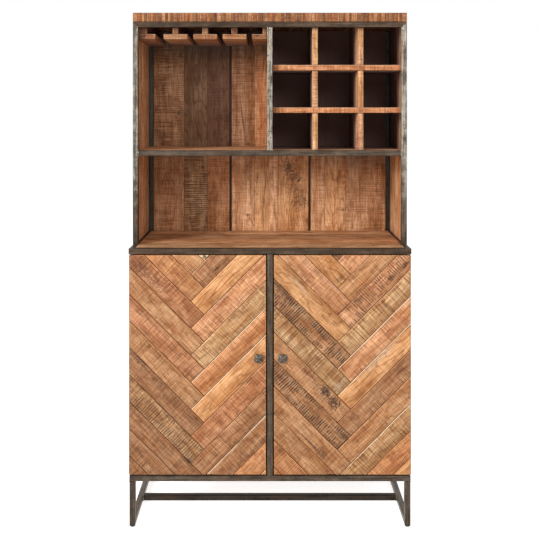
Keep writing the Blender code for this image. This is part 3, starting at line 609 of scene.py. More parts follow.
def steel_material(name, run, dull, bright, bright_share, pit_share, contrast=0.10, foot=None):
    """Brushed and patinated steel whose streaks lie along one axis.

    Dull and bright name two of the steel's colours. Contrast is how gently one turns into
    the other, and below the height foot the steel turns to the dark and brushed colours.
    """
    look = bpy.context.scene.bar_cabinet.steel
    shader = Shader(name)
    place = shader.place
    streaks = shader.noise(place, streak_scale(run, 170.0, 7.0), 4, 0.6)
    blotches = shader.noise(place, 26, 4, 0.6)
    both = shader.calc("MULTIPLY_ADD", streaks, 0.6, shader.times(blotches, 0.4))
    middle = 0.62 - 0.22 * bright_share
    lit = shader.spread(both, middle - contrast, middle + contrast)
    base = shader.mix(lit, getattr(look, dull), getattr(look, bright))
    if foot:
        lower = shader.mix(lit, look.dark, look.brushed)
        level = shader.calc("MULTIPLY_ADD", blotches, 0.16, shader.split(place)[2])
        base = shader.mix(shader.spread(level, foot, foot + 0.14), lower, base)
    warm = shader.patches(place, 9, 3, 0.45, 0.62, 0.0, 0.5)
    base = shader.tint(warm, base, (1.0, 0.86, 0.74))
    scratch = shader.patches(place, streak_scale(run, 420.0, 30.0), 3, 0.58, 0.66, roughness=0.6)
    pits = shader.patches(place, 150, 4, 0.56, 0.64, roughness=0.7)
    worn = shader.times(shader.calc("MAXIMUM", scratch, pits), pit_share)
    base = shader.mix(worn, base, look.pit)
    rough = shader.spread(streaks, 0.3, 0.7, 0.56, 0.40)
    height = shader.calc("MULTIPLY_ADD", worn, -0.9, streaks)
    return shader.finish(base, rough, height, 0.0004, metallic=0.75)


def plastic_material(name):
    """Black moulded plastic with a fine matt grain."""
    shader = Shader(name)
    grain = shader.noise(shader.place, 900, 3)
    base = shader.mix(grain, (0.008, 0.008, 0.008), (0.022, 0.021, 0.020))
    rough = shader.spread(grain, 0.3, 0.7, 0.45, 0.62)
    return shader.finish(base, rough, grain, 0.0002)


def knob_material(name):
    """Dark forged iron with a grey patina, and a painted highlight where its facets meet."""
    shader = Shader(name)
    patina = shader.patches(shader.place, 90, 3, 0.30, 0.70)
    base = shader.mix(patina, linear(60, 54, 47), linear(100, 92, 81))
    spots = shader.patches(shader.place, 420, 3, 0.60, 0.70, 0.0, 0.5)
    base = shader.mix(spots, base, linear(36, 34, 31))
    ridge = shader.spread(shader.attribute("ridge", "Fac"), 0.55, 0.95, 0.0, 0.8)
    base = shader.mix(ridge, base, linear(176, 165, 149))
    return shader.finish(base, 0.5, patina, 0.0003, metallic=0.5)


def new_object(name, data, material=None):
    thing = bpy.data.objects.new(name, data)
    bpy.context.scene.collection.objects.link(thing)
    if material:
        data.materials.clear()
        data.materials.append(material)
    return thing


def solid(name, mesh_data, material, sharp=35):
    """An object from mesh data, smooth but for its edges past an angle in degrees."""
    mesh = bpy.data.meshes.new(name)
    mesh_data.to_mesh(mesh)
    mesh_data.free()
    mesh.shade_smooth()
    mesh.set_sharp_from_angle(angle=math.radians(sharp))
    return new_object(name, mesh, material)


def absorb(mesh_data, part):
    """Moves one part's mesh data into a whole."""
    mesh = bpy.data.meshes.new("part")
    part.to_mesh(mesh)
    part.free()
    mesh_data.from_mesh(mesh)
    bpy.data.meshes.remove(mesh)


def settle(thing):
    """Applies the modifiers of a piece, so that it is a plain mesh."""
    evaluated = thing.evaluated_get(bpy.context.evaluated_depsgraph_get())
    mesh = bpy.data.meshes.new_from_object(evaluated)
    thing.modifiers.clear()
    thing.data = mesh
    return thing


def hand_over(thing, body, slot, *nodes):
    """Gives a finished piece its body and hides the nodes that it stands for. The slot is not used.
    """
    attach(thing, body)
    if nodes:
        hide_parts(*nodes)
    return thing


def paint_faces(mesh_data, along, timber, number, wear, strength=1.0):
    """Stores the grain's direction and the timber's tone and traits on every face.

    The grain runs along a plank in its UV map, in metres, and the number moves the pattern
    so that no two planks look alike. Wear gives the value of a bevelled face from its
    normal: 1 is pale and -1 is dark, for wear and dirt, and where the value follows
    the way an edge faces, for painted highlight and painted shade. Strength lightens
    the tone.
    """
    look = bpy.context.scene.bar_cabinet.timber
    layers = mesh_data.loops.layers
    grain = layers.uv.get("grain") or layers.uv.new("grain")
    tones = layers.float_color.get("timber") or layers.float_color.new("timber")
    traits = layers.float_color.get("traits") or layers.float_color.new("traits")
    edges = layers.float.get("edge") or layers.float.new("edge")
    up = UP if abs(along.z) < 0.9 else BACKWARDS
    side = along.cross(up).normalized()
    third = side.cross(along).normalized()
    tone = (*[strength * level for level in getattr(look, timber)], 1)
    trait = (*TRAIT_SHARES[timber], 1)
    shift = (number * 1.37, number * 0.211)
    for face in mesh_data.faces:
        facing = [abs(face.normal.dot(axis)) for axis in (along, side, third)]
        direction = third if facing[0] > 0.8 else along
        across = face.normal.cross(direction).normalized()
        if across.dot(side) < -0.1 or across.dot(third) < -0.1:
            across = -across
        worn = wear(face.normal) if max(facing) < 0.97 else 0.0
        for loop in face.loops:
            place = loop.vert.co
            loop[grain].uv = (place.dot(direction) + shift[0], place.dot(across) + shift[1])
            loop[tones] = tone
            loop[traits] = trait
            loop[edges] = worn


def dirty_edge(normal):
    return -0.55


def edge_highlight_towards(direction):
    """Edges that face one way get a painted highlight, and the others painted shade."""
    return lambda normal: 0.8 if normal.dot(direction) > 0.2 else -0.9


def roughen(plank, size, centre, run, bow, number):
    """Makes the faces of a plank that look along the bow axis a little uneven."""
    lengthwise = []
    for edge in plank.edges:
        span = edge.verts[0].co - edge.verts[1].co
        if abs(span[run]) > 0.9 * span.length:
            lengthwise.append(edge)
    cuts = max(1, min(40, round(size[run] / BOW_STEP)))
    bmesh.ops.subdivide_edges(plank, edges=lengthwise, cuts=cuts)
    for vert in plank.verts:
        drift = abs(noise.noise(vert.co * 14 + Vector((number * 3.7, 0, 0))))
        inwards = -1 if vert.co[bow] > centre[bow] else 1
        vert.co[bow] += inwards * drift * UNEVENNESS


def add_plank(
    mesh_data, low, high, run, timber, number, ease=PLANK_EASE, wear=dirty_edge, bow=None
):
    """One plank with eased edges, added to a piece. Bow is the axis whose faces are uneven."""
    plank = bmesh.new()
    bmesh.ops.create_cube(plank, size=1)
    low, high = Vector(low), Vector(high)
    size, centre = high - low, (low + high) / 2
    for vert in plank.verts:
        vert.co = Vector([vert.co[i] * size[i] + centre[i] for i in range(3)])
    if bow is not None:
        roughen(plank, size, centre, run, bow, number)
    sharp = [edge for edge in plank.edges if edge.calc_face_angle(0) > 1]
    bmesh.ops.bevel(
        plank, geom=sharp, offset=ease, segments=2, profile=0.5, affect="EDGES", clamp_overlap=True
    )
    bmesh.ops.recalc_face_normals(plank, faces=plank.faces)
    paint_faces(plank, AXES[run], timber, number, wear)
    absorb(mesh_data, plank)


def add_planks(mesh_data, low, high, run, wide, joint_shares, timbers, number, ease=PLANK_EASE):
    """A board of planks side by side between two corners, which touch so no light leaks in."""
    thin = 3 - run - wide
    places = [low[wide] + (high[wide] - low[wide]) * part for part in (0, *joint_shares, 1)]
    for i, (start, end) in enumerate(zip(places, places[1:])):
        plank_low, plank_high = list(low), list(high)
        plank_low[wide], plank_high[wide] = start, end
        timber = timbers[i % len(timbers)]
        add_plank(mesh_data, plank_low, plank_high, run, timber, number + i, ease, bow=thin)


def uneven_shares(count, unevenness, number):
    """Where strips of slightly different widths meet, as shares of the whole width."""
    widths = [1 + unevenness * noise.noise(Vector((i * 1.7, number, 0.5))) for i in range(count)]
    return [sum(widths[:i]) / sum(widths) for i in range(1, count)]


def planked_board(node, run, wide, joint_shares, timbers, number, material, box=None):
    """Replaces one node by a board of planks, of its own size or of another box."""
    mesh_data = bmesh.new()
    add_planks(mesh_data, *(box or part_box(node)), run, wide, joint_shares, timbers, number)
    board = solid(node + "_planks", mesh_data, material)
    return hand_over(board, "cabinet", "oiled_teak", node)


def take_painted_light_off(thing, direction, filter_colour):
    """Darkens the faces of a board that look one way. A board's pale cast is painted light for
    its faces inside the hutch; this takes much of it back off the outer faces.
    """
    tones = thing.data.attributes["timber"].data
    for face in thing.data.polygons:
        if face.normal.dot(direction) > 0.5:
            for corner in face.loop_indices:
                tone = tones[corner].color
                tones[corner].color = (*[a * b for a, b in zip(tone, filter_colour)], 1)


class GeometryTree(Nodes):
    """One Geometry Nodes tree with named inputs, and short calls for what only trees need."""

    def __init__(self, name, sockets):
        super().__init__(bpy.data.node_groups.new(name, "GeometryNodeTree"))
        interface = self.tree.interface
        for label, kind, default in (*sockets, ("Material", "Material", None)):
            kind = "NodeSocket" + kind
            socket = interface.new_socket(name=label, in_out="INPUT", socket_type=kind)
            if default is not None:
                socket.default_value = default
        interface.new_socket(name="Geometry", in_out="OUTPUT", socket_type="NodeSocketGeometry")
        self.given = self.add("NodeGroupInput").outputs

    def shape(self, kind, inputs, **settings):
        """The geometry of a node that makes or changes a shape."""
        return self.add("GeometryNode" + kind, inputs, **settings).outputs[0]

    def gather(self, kind, socket, parts, **settings):
        """A node that takes several shapes into one of its sockets."""
        node = self.add("GeometryNode" + kind, **settings)
        for part in parts:
            self.tree.links.new(part, node.inputs[socket])
        return node

    def copies(self, points, instance, **inputs):
        inputs = {"Points": points, "Instance": instance, **inputs}
        return self.shape("InstanceOnPoints", inputs)

    def finish(self, geometry):
        """Gives the geometry its material and ends the tree."""
        inputs = {"Geometry": geometry, "Material": self.given["Material"]}
        self.add("NodeGroupOutput", {0: self.shape("SetMaterial", inputs)})
        return self.tree


def run_tree(name, tree, values, mesh=None):
    """An object whose Geometry Nodes modifier has these values by input name."""
    thing = new_object(name, mesh or bpy.data.meshes.new(name))
    modifier = thing.modifiers.new(tree.name, "NODES")
    modifier.node_group = tree
    for item in tree.interface.items_tree:
        if item.in_out == "INPUT" and item.name in values:
            modifier[item.identifier] = values[item.name]
    return thing


def small_steel(name, tree, values, points, lines=()):
    """The small steel parts that a tree lays on points or lines, as one finished piece."""
    mesh = bpy.data.meshes.new(name + "_places")
    mesh.from_pydata(points, lines, [])
    parts = settle(run_tree(name, tree, values, mesh))
    hand_over(parts, "cabinet", "patinated_steel")


def herringbone_tree():
    """Planks of two arms that cross at a spine, cut to the outline of a door."""
    nodes = GeometryTree("herringbone_facing", (
        ("Plank Width", "Float", 0.0674),
        ("Plank Thickness", "Float", 0.0077),
        ("Joint", "Float", 0.0018),
        ("Reach", "Float", 0.92),
        ("Planks Each Way", "Int", 14),
        ("Spine", "Vector", (0.0, 0.0, 0.0)),
        ("Door Centre", "Vector", (0.0, 0.0, 0.0)),
        ("Door Size", "Vector", (0.485, 0.1, 0.776)),
        ("Unevenness", "Float", 0.0),
        ("Waviness", "Float", 0.0),
        ("Seed", "Int", 4),
    ))
    given = nodes.given
    width, joint, centre = given["Plank Width"], given["Joint"], given["Door Centre"]
    index = nodes.add("GeometryNodeInputIndex").outputs[0]
    step = nodes.calc("SUBTRACT", index, given["Planks Each Way"])
    near = nodes.times(step, width)
    middle = nodes.calc("MULTIPLY_ADD", width, 0.5, near)
    start = nodes.calc("ADD", nodes.times(given["Reach"], 0.5), nodes.times(joint, 0.5))
    size = nodes.join(
        given["Reach"], given["Plank Thickness"], nodes.calc("SUBTRACT", width, joint)
    )
    blank = nodes.shape("MeshCube", {"Size": size, "Vertices X": 36})
    slopes = (
        (nodes.calc("SUBTRACT", nodes.times(near, -1.0), start), middle, EIGHTH_TURN),
        (middle, nodes.calc("SUBTRACT", start, near), -EIGHTH_TURN),
    )
    arms = []
    for number, (u, v, turn) in enumerate(slopes):
        seed = nodes.calc("ADD", given["Seed"], float(number))
        random = {"ID": index, "Seed": seed, 2: 0.0, 3: given["Unevenness"]}
        proud = nodes.add("FunctionNodeRandomValue", random, data_type="FLOAT").outputs[1]
        x = nodes.times(nodes.calc("ADD", u, v), SLANT)
        z = nodes.times(nodes.calc("SUBTRACT", v, u), SLANT)
        spot = nodes.vector("ADD", nodes.join(x, proud, z), given["Spine"])
        count = nodes.times(given["Planks Each Way"], 2.0)
        points = nodes.shape("Points", {"Count": count, "Position": spot})
        arms.append(nodes.copies(points, blank, Rotation=(0, turn, 0)))
    both = nodes.gather("JoinGeometry", 0, arms).outputs[0]
    planks = nodes.shape("RealizeInstances", {0: both})
    outline = nodes.shape("MeshCube", {"Size": given["Door Size"]})
    moved = nodes.shape("Transform", {"Geometry": outline, "Translation": centre})
    cut = {"operation": "INTERSECT", "solver": "EXACT"}
    trim = nodes.gather("MeshBoolean", "Mesh 2", (planks, moved), **cut)

    place = nodes.add("GeometryNodeInputPosition").outputs[0]
    offset = nodes.vector("ABSOLUTE", nodes.vector("SUBTRACT", place, centre))
    half = nodes.vector("MULTIPLY", given["Door Size"], (0.5, 0.5, 0.5))
    inwards_x, _, inwards_z = nodes.split(nodes.vector("SUBTRACT", half, offset))
    free = nodes.spread(nodes.calc("MINIMUM", inwards_x, inwards_z), 0.0, 0.03)
    inputs = {"Vector": place, "Scale": 5.0, "Detail": 1.0}
    clouds = nodes.add("ShaderNodeTexNoise", inputs).outputs[1]
    sway = nodes.vector("SUBTRACT", clouds, (0.5, 0.5, 0.5))
    amount = nodes.times(given["Waviness"], free)
    flat = nodes.vector("MULTIPLY", sway, nodes.join(amount, 0.0, amount))
    return nodes.finish(
        nodes.shape("SetPosition", {"Geometry": trim.outputs[0], "Offset": flat})
    )


def door_edge_wear_and_highlight(number):
    """How pale or dark the edges of one plank are: pale wear, and painted highlight most
    where they face up and to the left towards the key lamp, with a little painted shade
    where they face down and to the right.
    """
    worn = 0.65 + 0.9 * noise.noise(Vector((number * 2.3, 0.4, 0.9)))

    def edge(normal):
        flat = Vector((normal.x, 0, normal.z)).normalized()
        if max(abs(flat.x), abs(flat.z)) > 0.9:
            return 0.15
        turned = flat.dot(UP_LEFT)
        if turned > 0.7:
            return worn
        if turned < -0.7:
            return -0.15
        return 0.6 * worn if flat.z > 0 else 0.0

    return edge


def plank_at(place, spine, width):
    """Which arm and which plank of the herringbone lies at a point of the door's face."""
    x, z = place.x - spine.x, place.z - spine.z
    u, v = (x - z) * SLANT, (x + z) * SLANT
    step = math.floor(v / width)
    if u < -step * width:
        return 0, step
    return 1, math.floor(u / width)


def painted_planks(mesh, spine, width, timbers, sheen):
    """The planks of a facing, each painted with the timber that its place in the pattern has."""
    source = bmesh.new()
    source.from_mesh(mesh)
    source.faces.index_update()
    groups = {}
    for face in source.faces:
        centre = face.calc_center_median() - face.normal * 0.002
        groups.setdefault(plank_at(centre, spine, width), set()).add(face.index)
    firsts = [min(step for arm, step in groups if arm == side) for side in (0, 1)]
    for number, (arm, step) in enumerate(sorted(groups)):
        plank = source.copy()
        unwanted = [face for face in plank.faces if face.index not in groups[(arm, step)]]
        bmesh.ops.delete(plank, geom=unwanted, context="FACES")
        slope = 1 if arm else -1
        timber = timbers[arm][(step - firsts[arm]) % len(timbers[arm])]
        # Pale wear and painted highlight on the edges that face the light
        edge, strength = door_edge_wear_and_highlight(number + len(groups)), 1 + sheen * slope
        paint_faces(plank, Vector((SLANT, 0, SLANT * slope)), timber, number, edge, strength)
        edges = plank.loops.layers.float["edge"]
        for face in plank.faces:
            if abs(face.normal.y) < 0.2 and max(abs(face.normal.x), abs(face.normal.z)) < 0.95:
                for loop in face.loops:
                    loop[edges] = -1
        yield plank


def build_door(side, spine, timbers, seed, material):
    """One door leaf: herringbone facing over a backing board of upright planks."""
    sizes = bpy.context.scene.bar_cabinet.doors
    node = side + "_door"
    low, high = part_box(node)
    depth = sizes.plank_thick
    values = {
        "Plank Width": sizes.plank_width,
        "Plank Thickness": depth,
        "Joint": sizes.joint,
        "Reach": math.hypot(high.x - low.x, high.z - low.z),
        "Spine": (spine.x, low.y + depth / 2, spine.z),
        "Door Centre": (low + high) / 2,
        "Door Size": (high.x - low.x, 4 * (high.y - low.y), high.z - low.z),
        "Unevenness": sizes.proud,
        "Waviness": sizes.waviness,
        "Seed": seed,
        "Material": material,
    }
    facing = run_tree(side + "_facing", bpy.data.node_groups["herringbone_facing"], values)
    bevel = facing.modifiers.new("worn_edges", "BEVEL")
    bevel.width = sizes.chamfer
    bevel.segments = 2
    bevel.use_clamp_overlap = False
    bevel.limit_method = "ANGLE"
    bevel.angle_limit = math.radians(50)
    settle(facing)
    mesh_data = bmesh.new()
    for plank in painted_planks(facing.data, spine, sizes.plank_width, timbers, sizes.sheen):
        absorb(mesh_data, plank)
    bpy.data.objects.remove(facing)
    bmesh.ops.remove_doubles(mesh_data, verts=mesh_data.verts, dist=0.00001)
    board = Vector((low.x, low.y + depth + sizes.proud, low.z)), high
    board_timbers = ("tan", "honey", "peach")
    add_planks(mesh_data, *board, UPRIGHT, ACROSS, (0.27, 0.52, 0.76), board_timbers, seed)
    hand_over(solid(node + "_leaf", mesh_data, material), node, "door_teak", node)


class BARCABINET_OT_doors(Operator):
    """Builds both door leaves with their herringbone facing"""

    bl_idname = "bar_cabinet.doors"
    bl_label = "Doors"

    def execute(self, context):
        sizes = context.scene.bar_cabinet.doors
        herringbone_tree()
        cast = (1.18, 1.22, 1.23)
        material = teak_material("door_teak_finish", DOOR_MARKS, DOOR_WEAR, cast=cast)
        for side, timbers, shift, rise, seed in (
            ("left", LEFT_DOOR_TIMBERS, 0.0, sizes.left_rise, 5),
            ("right", RIGHT_DOOR_TIMBERS, sizes.right_shift, sizes.right_rise, 31),
        ):
            low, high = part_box(side + "_door")
            x = (low.x + high.x) / 2 + shift - sizes.plank_width * SLANT / 2
            build_door(side, Vector((x, 0, low.z + rise)), timbers, seed, material)
        return {"FINISHED"}


def cell_painted_shade(setback, soft):
    """Painted shade deep in the bottle cells, from this far behind the front of the hutch."""
    low = (0.0, HUTCH_FRONT + setback + soft, MIDDLE_RAIL[1].z - PAST_FACE)
    high = (HUTCH_INNER + PAST_SIDE, BACK_FACE + PAST_FACE, TOP_RAIL[1].z + PAST_SIDE)
    return low, high, (CRISP, soft, 0.0015)


def rail_painted_shade(soft=0.03):
    """Painted shade above the glass rails, on the underside of the top and the back's top."""
    low = (-HUTCH_INNER, HUTCH_FRONT + RAIL_SETBACK + soft, TOP_RAIL[1].z - 0.020)
    high = (0.0, BACK_FACE + PAST_FACE, TOP_RAIL[1].z + PAST_SIDE)
    return low, high, (CRISP, soft, 0.012)


def rail_end_painted_shade():
    """Painted shade on the rear half of the glass rails."""
    low = (-HUTCH_INNER, HUTCH_FRONT + RAIL_END_SETBACK, MIDDLE_RAIL[1].z)
    high = (0.0, BACK_FACE + PAST_FACE, TOP_RAIL[1].z)
    return low, high, (CRISP, 0.06, 0.012)


def add_dust_strips(mesh_data):
    """Dark strips that close the slits in front of, under and behind the cupboard floor."""
    rail, rear_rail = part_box("front_base_rail"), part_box("rear_base_rail")
    floor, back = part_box("cupboard_floor"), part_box("cupboard_back")
    inset, overlap, lip_depth = 0.02, 0.001, 0.009
    front_high, lip_high, rear_high = 0.008, 0.0022, 0.004
    left, right, bottom = floor[0].x + inset, floor[1].x - inset, floor[0].z
    front, rear, top = rail[1].y + SEAM, rear_rail[0].y - SEAM, rear_rail[1].z
    strips = (
        ((front, bottom), (floor[0].y - SEAM, bottom + front_high), PLANK_EASE),
        ((rail[1].y - lip_depth, bottom), (front + overlap, bottom + lip_high), FINE_EASE),
        ((back[0].y + overlap, top - rear_high), (rear, top), FINE_EASE),
    )
    for i, (low, high, ease) in enumerate(strips):
        add_plank(mesh_data, (left, *low), (right, *high), ACROSS, "bark", 47 + i, ease)


class BARCABINET_OT_boards(Operator):
    """Builds the counter, shelves, sides and top from separate planks"""

    bl_idname = "bar_cabinet.boards"
    bl_label = "Boards"

    def execute(self, context):
        # Painted shade deep in the bottle cells and above the glass rails
        painted_shade = (cell_painted_shade(CELL_SETBACK, 0.04), rail_painted_shade())
        # Partly painted light: the plain cast pales the counter towards the whitish sheen of its
        # grazing view and the light that a white studio bounces in; the far paler side cast is
        # painted light on the sides' faces inside the hutch
        plain = teak_material("board_teak_finish", painted_shade=painted_shade, cast=(1.16, 1.34, 1.50), sawing=0.35)
        pale = teak_material("side_teak_finish", painted_shade=painted_shade, cast=(1.42, 1.65, 1.86), sawing=0.35)
        worn = teak_material("top_teak_finish", cast=(0.78, 0.70, 0.61))
        quarters, thirds, shelf_thirds = (0.24, 0.50, 0.76), (0.36, 0.70), (0.33, 0.64)
        timbers = ("tan", "amber", "umber", "tan")
        planked_board("counter_board", ACROSS, DEEP, quarters, timbers, 3, plain)
        timbers = ("salmon", "amber", "tan")
        planked_board("middle_shelf", ACROSS, DEEP, shelf_thirds, timbers, 9, plain)
        timbers = ("amber", "tan", "umber")
        # The outer faces of the sides lose most of the painted light of their casts
        for number, side in enumerate(("left", "right")):
            outwards = (-RIGHTWARDS, RIGHTWARDS)[number]
            for part, material, first, filter_colour in (
                ("hutch", pale, 14, (0.80, 0.67, 0.58)),
                ("cupboard", plain, 21, (0.94, 0.85, 0.77)),
            ):
                node, seed = f"{side}_{part}_side", first + 3 * number
                board = planked_board(node, UPRIGHT, DEEP, thirds, timbers, seed, material)
                take_painted_light_off(board, outwards, filter_colour)
        planked_board("hutch_partition", UPRIGHT, DEEP, thirds, ("tan", "amber"), 29, plain)
        planked_board("cupboard_floor", ACROSS, DEEP, quarters, ("tan", "umber"), 33, plain)
        timbers = ("umber", "tan", "rose")
        planked_board("cupboard_back", UPRIGHT, ACROSS, (0.27, 0.55, 0.80), timbers, 38, plain)
        low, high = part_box("cupboard_shelf")
        low.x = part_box("left_cupboard_side")[1].x
        high.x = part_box("right_cupboard_side")[0].x
        timbers, seen = ("tan", "amber", "umber"), (low, high)
        planked_board("cupboard_shelf", ACROSS, DEEP, shelf_thirds, timbers, 43, plain, seen)
        mesh_data = bmesh.new()
        add_dust_strips(mesh_data)
        hand_over(solid("dust_strip", mesh_data, plain), "cabinet", "oiled_teak")
        staves = uneven_shares(count=78, unevenness=1.3, number=5)
        planked_board("top_board", DEEP, ACROSS, staves, STAVE_TIMBERS, 50, worn)
        return {"FINISHED"}


def back_material(name):
    """Teak with painted shade: dark behind the rack and above the glass rails, and soft
    under the glass rails and the shelf.
    """
    near, far = BACK_FACE - PAST_FACE, BACK_FACE + PAST_FACE
    shelf_level, rail_level = MIDDLE_RAIL[0].z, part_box("glass_rail_1")[0].z
    shelf_end = (-HUTCH_LEFT, far, shelf_level + 0.02)
    crisp = (CRISP, CRISP, CRISP)
    # Soft painted shade under the glass rails and under the shelf
    dim = (
        ((HUTCH_LEFT, near, rail_level), (0.0, far, TOP_RAIL[1].z), (CRISP, CRISP, 0.08), crisp),
        ((HUTCH_LEFT, near, shelf_level + 0.004), shelf_end, (CRISP, CRISP, 0.045), crisp),
        ((0.26, near, shelf_level), shelf_end, (0.16, CRISP, 0.10), crisp),
    )
    return teak_material(
        name,
        BACK_MARKS,
        painted_shade=(cell_painted_shade(CELL_SETBACK, CRISP), rail_painted_shade(CRISP)),
        dim=dim,
        cast=(1.12, 1.23, 1.36),
        front=BACK_FACE,
    )


class BARCABINET_OT_back(Operator):
    """Builds the three upright back panels with the dark grooves between them"""

    bl_idname = "bar_cabinet.back"
    bl_label = "Back panels"

    def execute(self, context):
        material = back_material("back_teak_finish")
        left, middle, right = (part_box(side + "_back_panel") for side in ("left", "middle", "right"))
        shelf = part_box("middle_shelf")
        shelf_middle = (shelf[0].z + shelf[1].z) / 2
        low_x, high_x = left[1].x + GROOVE, right[0].x - GROOVE
        between = (Vector((low_x, *middle[0].yz)), Vector((high_x, *middle[1].yz)))
        for name, (low, high), joint_shares, lower_timbers, upper_timbers, number in (
            ("left", left, (0.40, 0.71), "tan khaki amber", "walnut moss bark", 70),
            (
                "middle", between, (0.30, 0.48, 0.60),
                "peach honey peach honey", "umber amber salmon tan", 76,
            ),
            ("right", right, (0.19, 0.47), "peach honey tan", "tan amber umber", 82),
        ):
            mesh_data = bmesh.new()
            low_end, high_end = (low.x, low.y, shelf_middle), (high.x, high.y, shelf_middle)
            for part_low, part_high, timbers in (
                (low, high_end, lower_timbers.split()),
                (low_end, high, upper_timbers.split()),
            ):
                across = (UPRIGHT, ACROSS, joint_shares)
                add_planks(mesh_data, part_low, part_high, *across, timbers, number, PANEL_EASE)
            if name == "middle":
                rear = (low.y + high.y) / 2
                for start, end in ((left[1].x, low_x), (high_x, right[0].x)):
                    strip = (start, rear, low.z), (end, high.y, high.z)
                    add_plank(mesh_data, *strip, UPRIGHT, "groove", number + 9, SEAM)
            panel = solid(name + "_back_planks", mesh_data, material)
            hand_over(panel, "cabinet", "oiled_teak", name + "_back_panel")
        return {"FINISHED"}


class BARCABINET_OT_rack(Operator):
    """Builds the shelves and uprights of the bottle rack"""

    bl_idname = "bar_cabinet.rack"
    bl_label = "Bottle rack"

    def execute(self, context):
        shelves = [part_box(name + "_rack_shelf") for name in ("lower", "upper")]
        uprights = [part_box(name + "_rack_upright") for name in ("inner", "outer")]
        crossings = []
        for upright in uprights:
            for shelf in shelves:
                x, z = (upright[0].x + upright[1].x) / 2, (shelf[0].z + shelf[1].z) / 2
                crossings.append((x, z, END_GRAIN, END_GRAIN, 0, 0.50))
        # Painted shade deep in the cells, from just behind the shelves' fronts
        material = teak_material(
            "rack_shelf_finish",
            crossings,
            painted_shade=(cell_painted_shade(setback=0.022, soft=0.02),),
            cast=(1.12, 1.01, 0.90),
            front=shelves[0][0].y,
        )
        for number, name in enumerate(("lower", "upper")):
            mesh_data = bmesh.new()
            # Painted highlight on the shelves' upper edges, painted shade on the others
            edge = edge_highlight_towards(UP)
            add_plank(
                mesh_data, *shelves[number], ACROSS, "salmon", 90 + number, wear=edge, bow=UPRIGHT
            )
            board = solid(name + "_rack_board", mesh_data, material)
            hand_over(board, "cabinet", "pale_teak", name + "_rack_shelf")
        for number, (name, setback, soft, cast) in enumerate((
            ("inner", 0.030, 0.02, (1.15, 1.25, 1.30)),
            ("outer", CELL_SETBACK, 0.03, (1.22, 1.34, 1.50)),
        )):
            # Painted shade on the uprights' sides deep in the cells
            painted_shade = (cell_painted_shade(setback, soft),)
            material = teak_material(name + "_post_finish", painted_shade=painted_shade, cast=cast)
            low, high = uprights[number]
            levels = [low.z]
            for shelf in shelves:
                levels += [shelf[0].z - SEAM, shelf[1].z + SEAM]
            levels.append(high.z)
            # Painted highlight on the edges on one side of each upright, painted shade on the others
            edge = edge_highlight_towards((-RIGHTWARDS, RIGHTWARDS)[number])
            mesh_data = bmesh.new()
            for part in range(3):
                ends = (low.x, low.y, levels[2 * part]), (high.x, high.y, levels[2 * part + 1])
                timber = ("peach", "salmon", "honey")[(part + number) % 3]
                seed = 94 + 3 * number + part
                add_plank(mesh_data, *ends, UPRIGHT, timber, seed, wear=edge, bow=ACROSS)
            upright = solid(name + "_rack_post", mesh_data, material)
            hand_over(upright, "cabinet", "pale_teak", name + "_rack_upright")
        return {"FINISHED"}


class BARCABINET_OT_glass_rails(Operator):
    """Builds the rails that hold stemmed glasses, each a foot strip under a web"""

    bl_idname = "bar_cabinet.glass_rails"
    bl_label = "Glass rails"

    def execute(self, context):
        # Painted shade above the glass rails and on their rear halves
        material = teak_material(
            "rail_teak_finish",
            RAIL_MARKS,
            painted_shade=(rail_painted_shade(), rail_end_painted_shade()),
            cast=(0.68, 0.63, 0.61),
            front=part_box("glass_rail_1")[0].y,
        )
        flange_thick, web, first_web, last_web = 0.019, 0.021, 0.038, 0.016
        foot_timbers = ("salmon", "peach", "amber", "honey", "amber")
        # The first web's dark walnut is painted shade, for the left post's shadow on it
        web_timbers = ("walnut", "tan", "peach", "rose", "amber")
        # Painted highlight on the feet's upper edges and the webs' left edges, painted shade
        # elsewhere
        upwards, leftwards = edge_highlight_towards(UP), edge_highlight_towards(-RIGHTWARDS)
        for i in range(5):
            node = f"glass_rail_{i + 1}"
            low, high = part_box(node)
            shoulder, middle = low.z + flange_thick, (low.x + high.x) / 2
            web_span = (middle - web / 2, middle + web / 2)
            if i == 0:
                web_span = (low.x, low.x + first_web)
            elif i == 4:
                web_span = (high.x - last_web, high.x)
            mesh_data = bmesh.new()
            foot = low, (high.x, high.y, shoulder)
            add_plank(
                mesh_data, *foot, ACROSS, foot_timbers[i], 111 + i, wear=upwards, bow=UPRIGHT
            )
            stem = (web_span[0], low.y, shoulder), (web_span[1], high.y, high.z)
            add_plank(
                mesh_data, *stem, DEEP, web_timbers[i], 119 + i, wear=leftwards, bow=ACROSS
            )
            hand_over(solid(node + "_wood", mesh_data, material), "cabinet", "pale_teak", node)
        return {"FINISHED"}


# The knob's head from its tip to the door: how far out it reaches and how far down
KNOB_PROFILE_SHARES = (
    (0.0012, 0.0), (0.34, 0.22), (0.68, 0.45), (0.96, 0.64), (1.0, 0.70), (1.0, 0.97), (0.985, 1.0),
)
KNOB_SIDES, KNOB_HALF, KNOB_DENT = 32, 0.0145, 0.0003
FACET_RINGS, CUT_CORNER = 5, 1.38
STEM_RADIUS, NUT_RADIUS, NUT_THICK = 0.0025, 0.0080, 0.0025


def knob_ring(mesh_data, centre, y, reaches, turn):
    """A ring round the knob's axis, from the reach of each of its vertices."""
    ring = []
    for i, reach in enumerate(reaches):
        angle = math.tau * i / KNOB_SIDES - turn
        x, z = reach * math.cos(angle), reach * math.sin(angle)
        ring.append(mesh_data.verts.new((centre.x + x, y, centre.z + z)))
    return ring


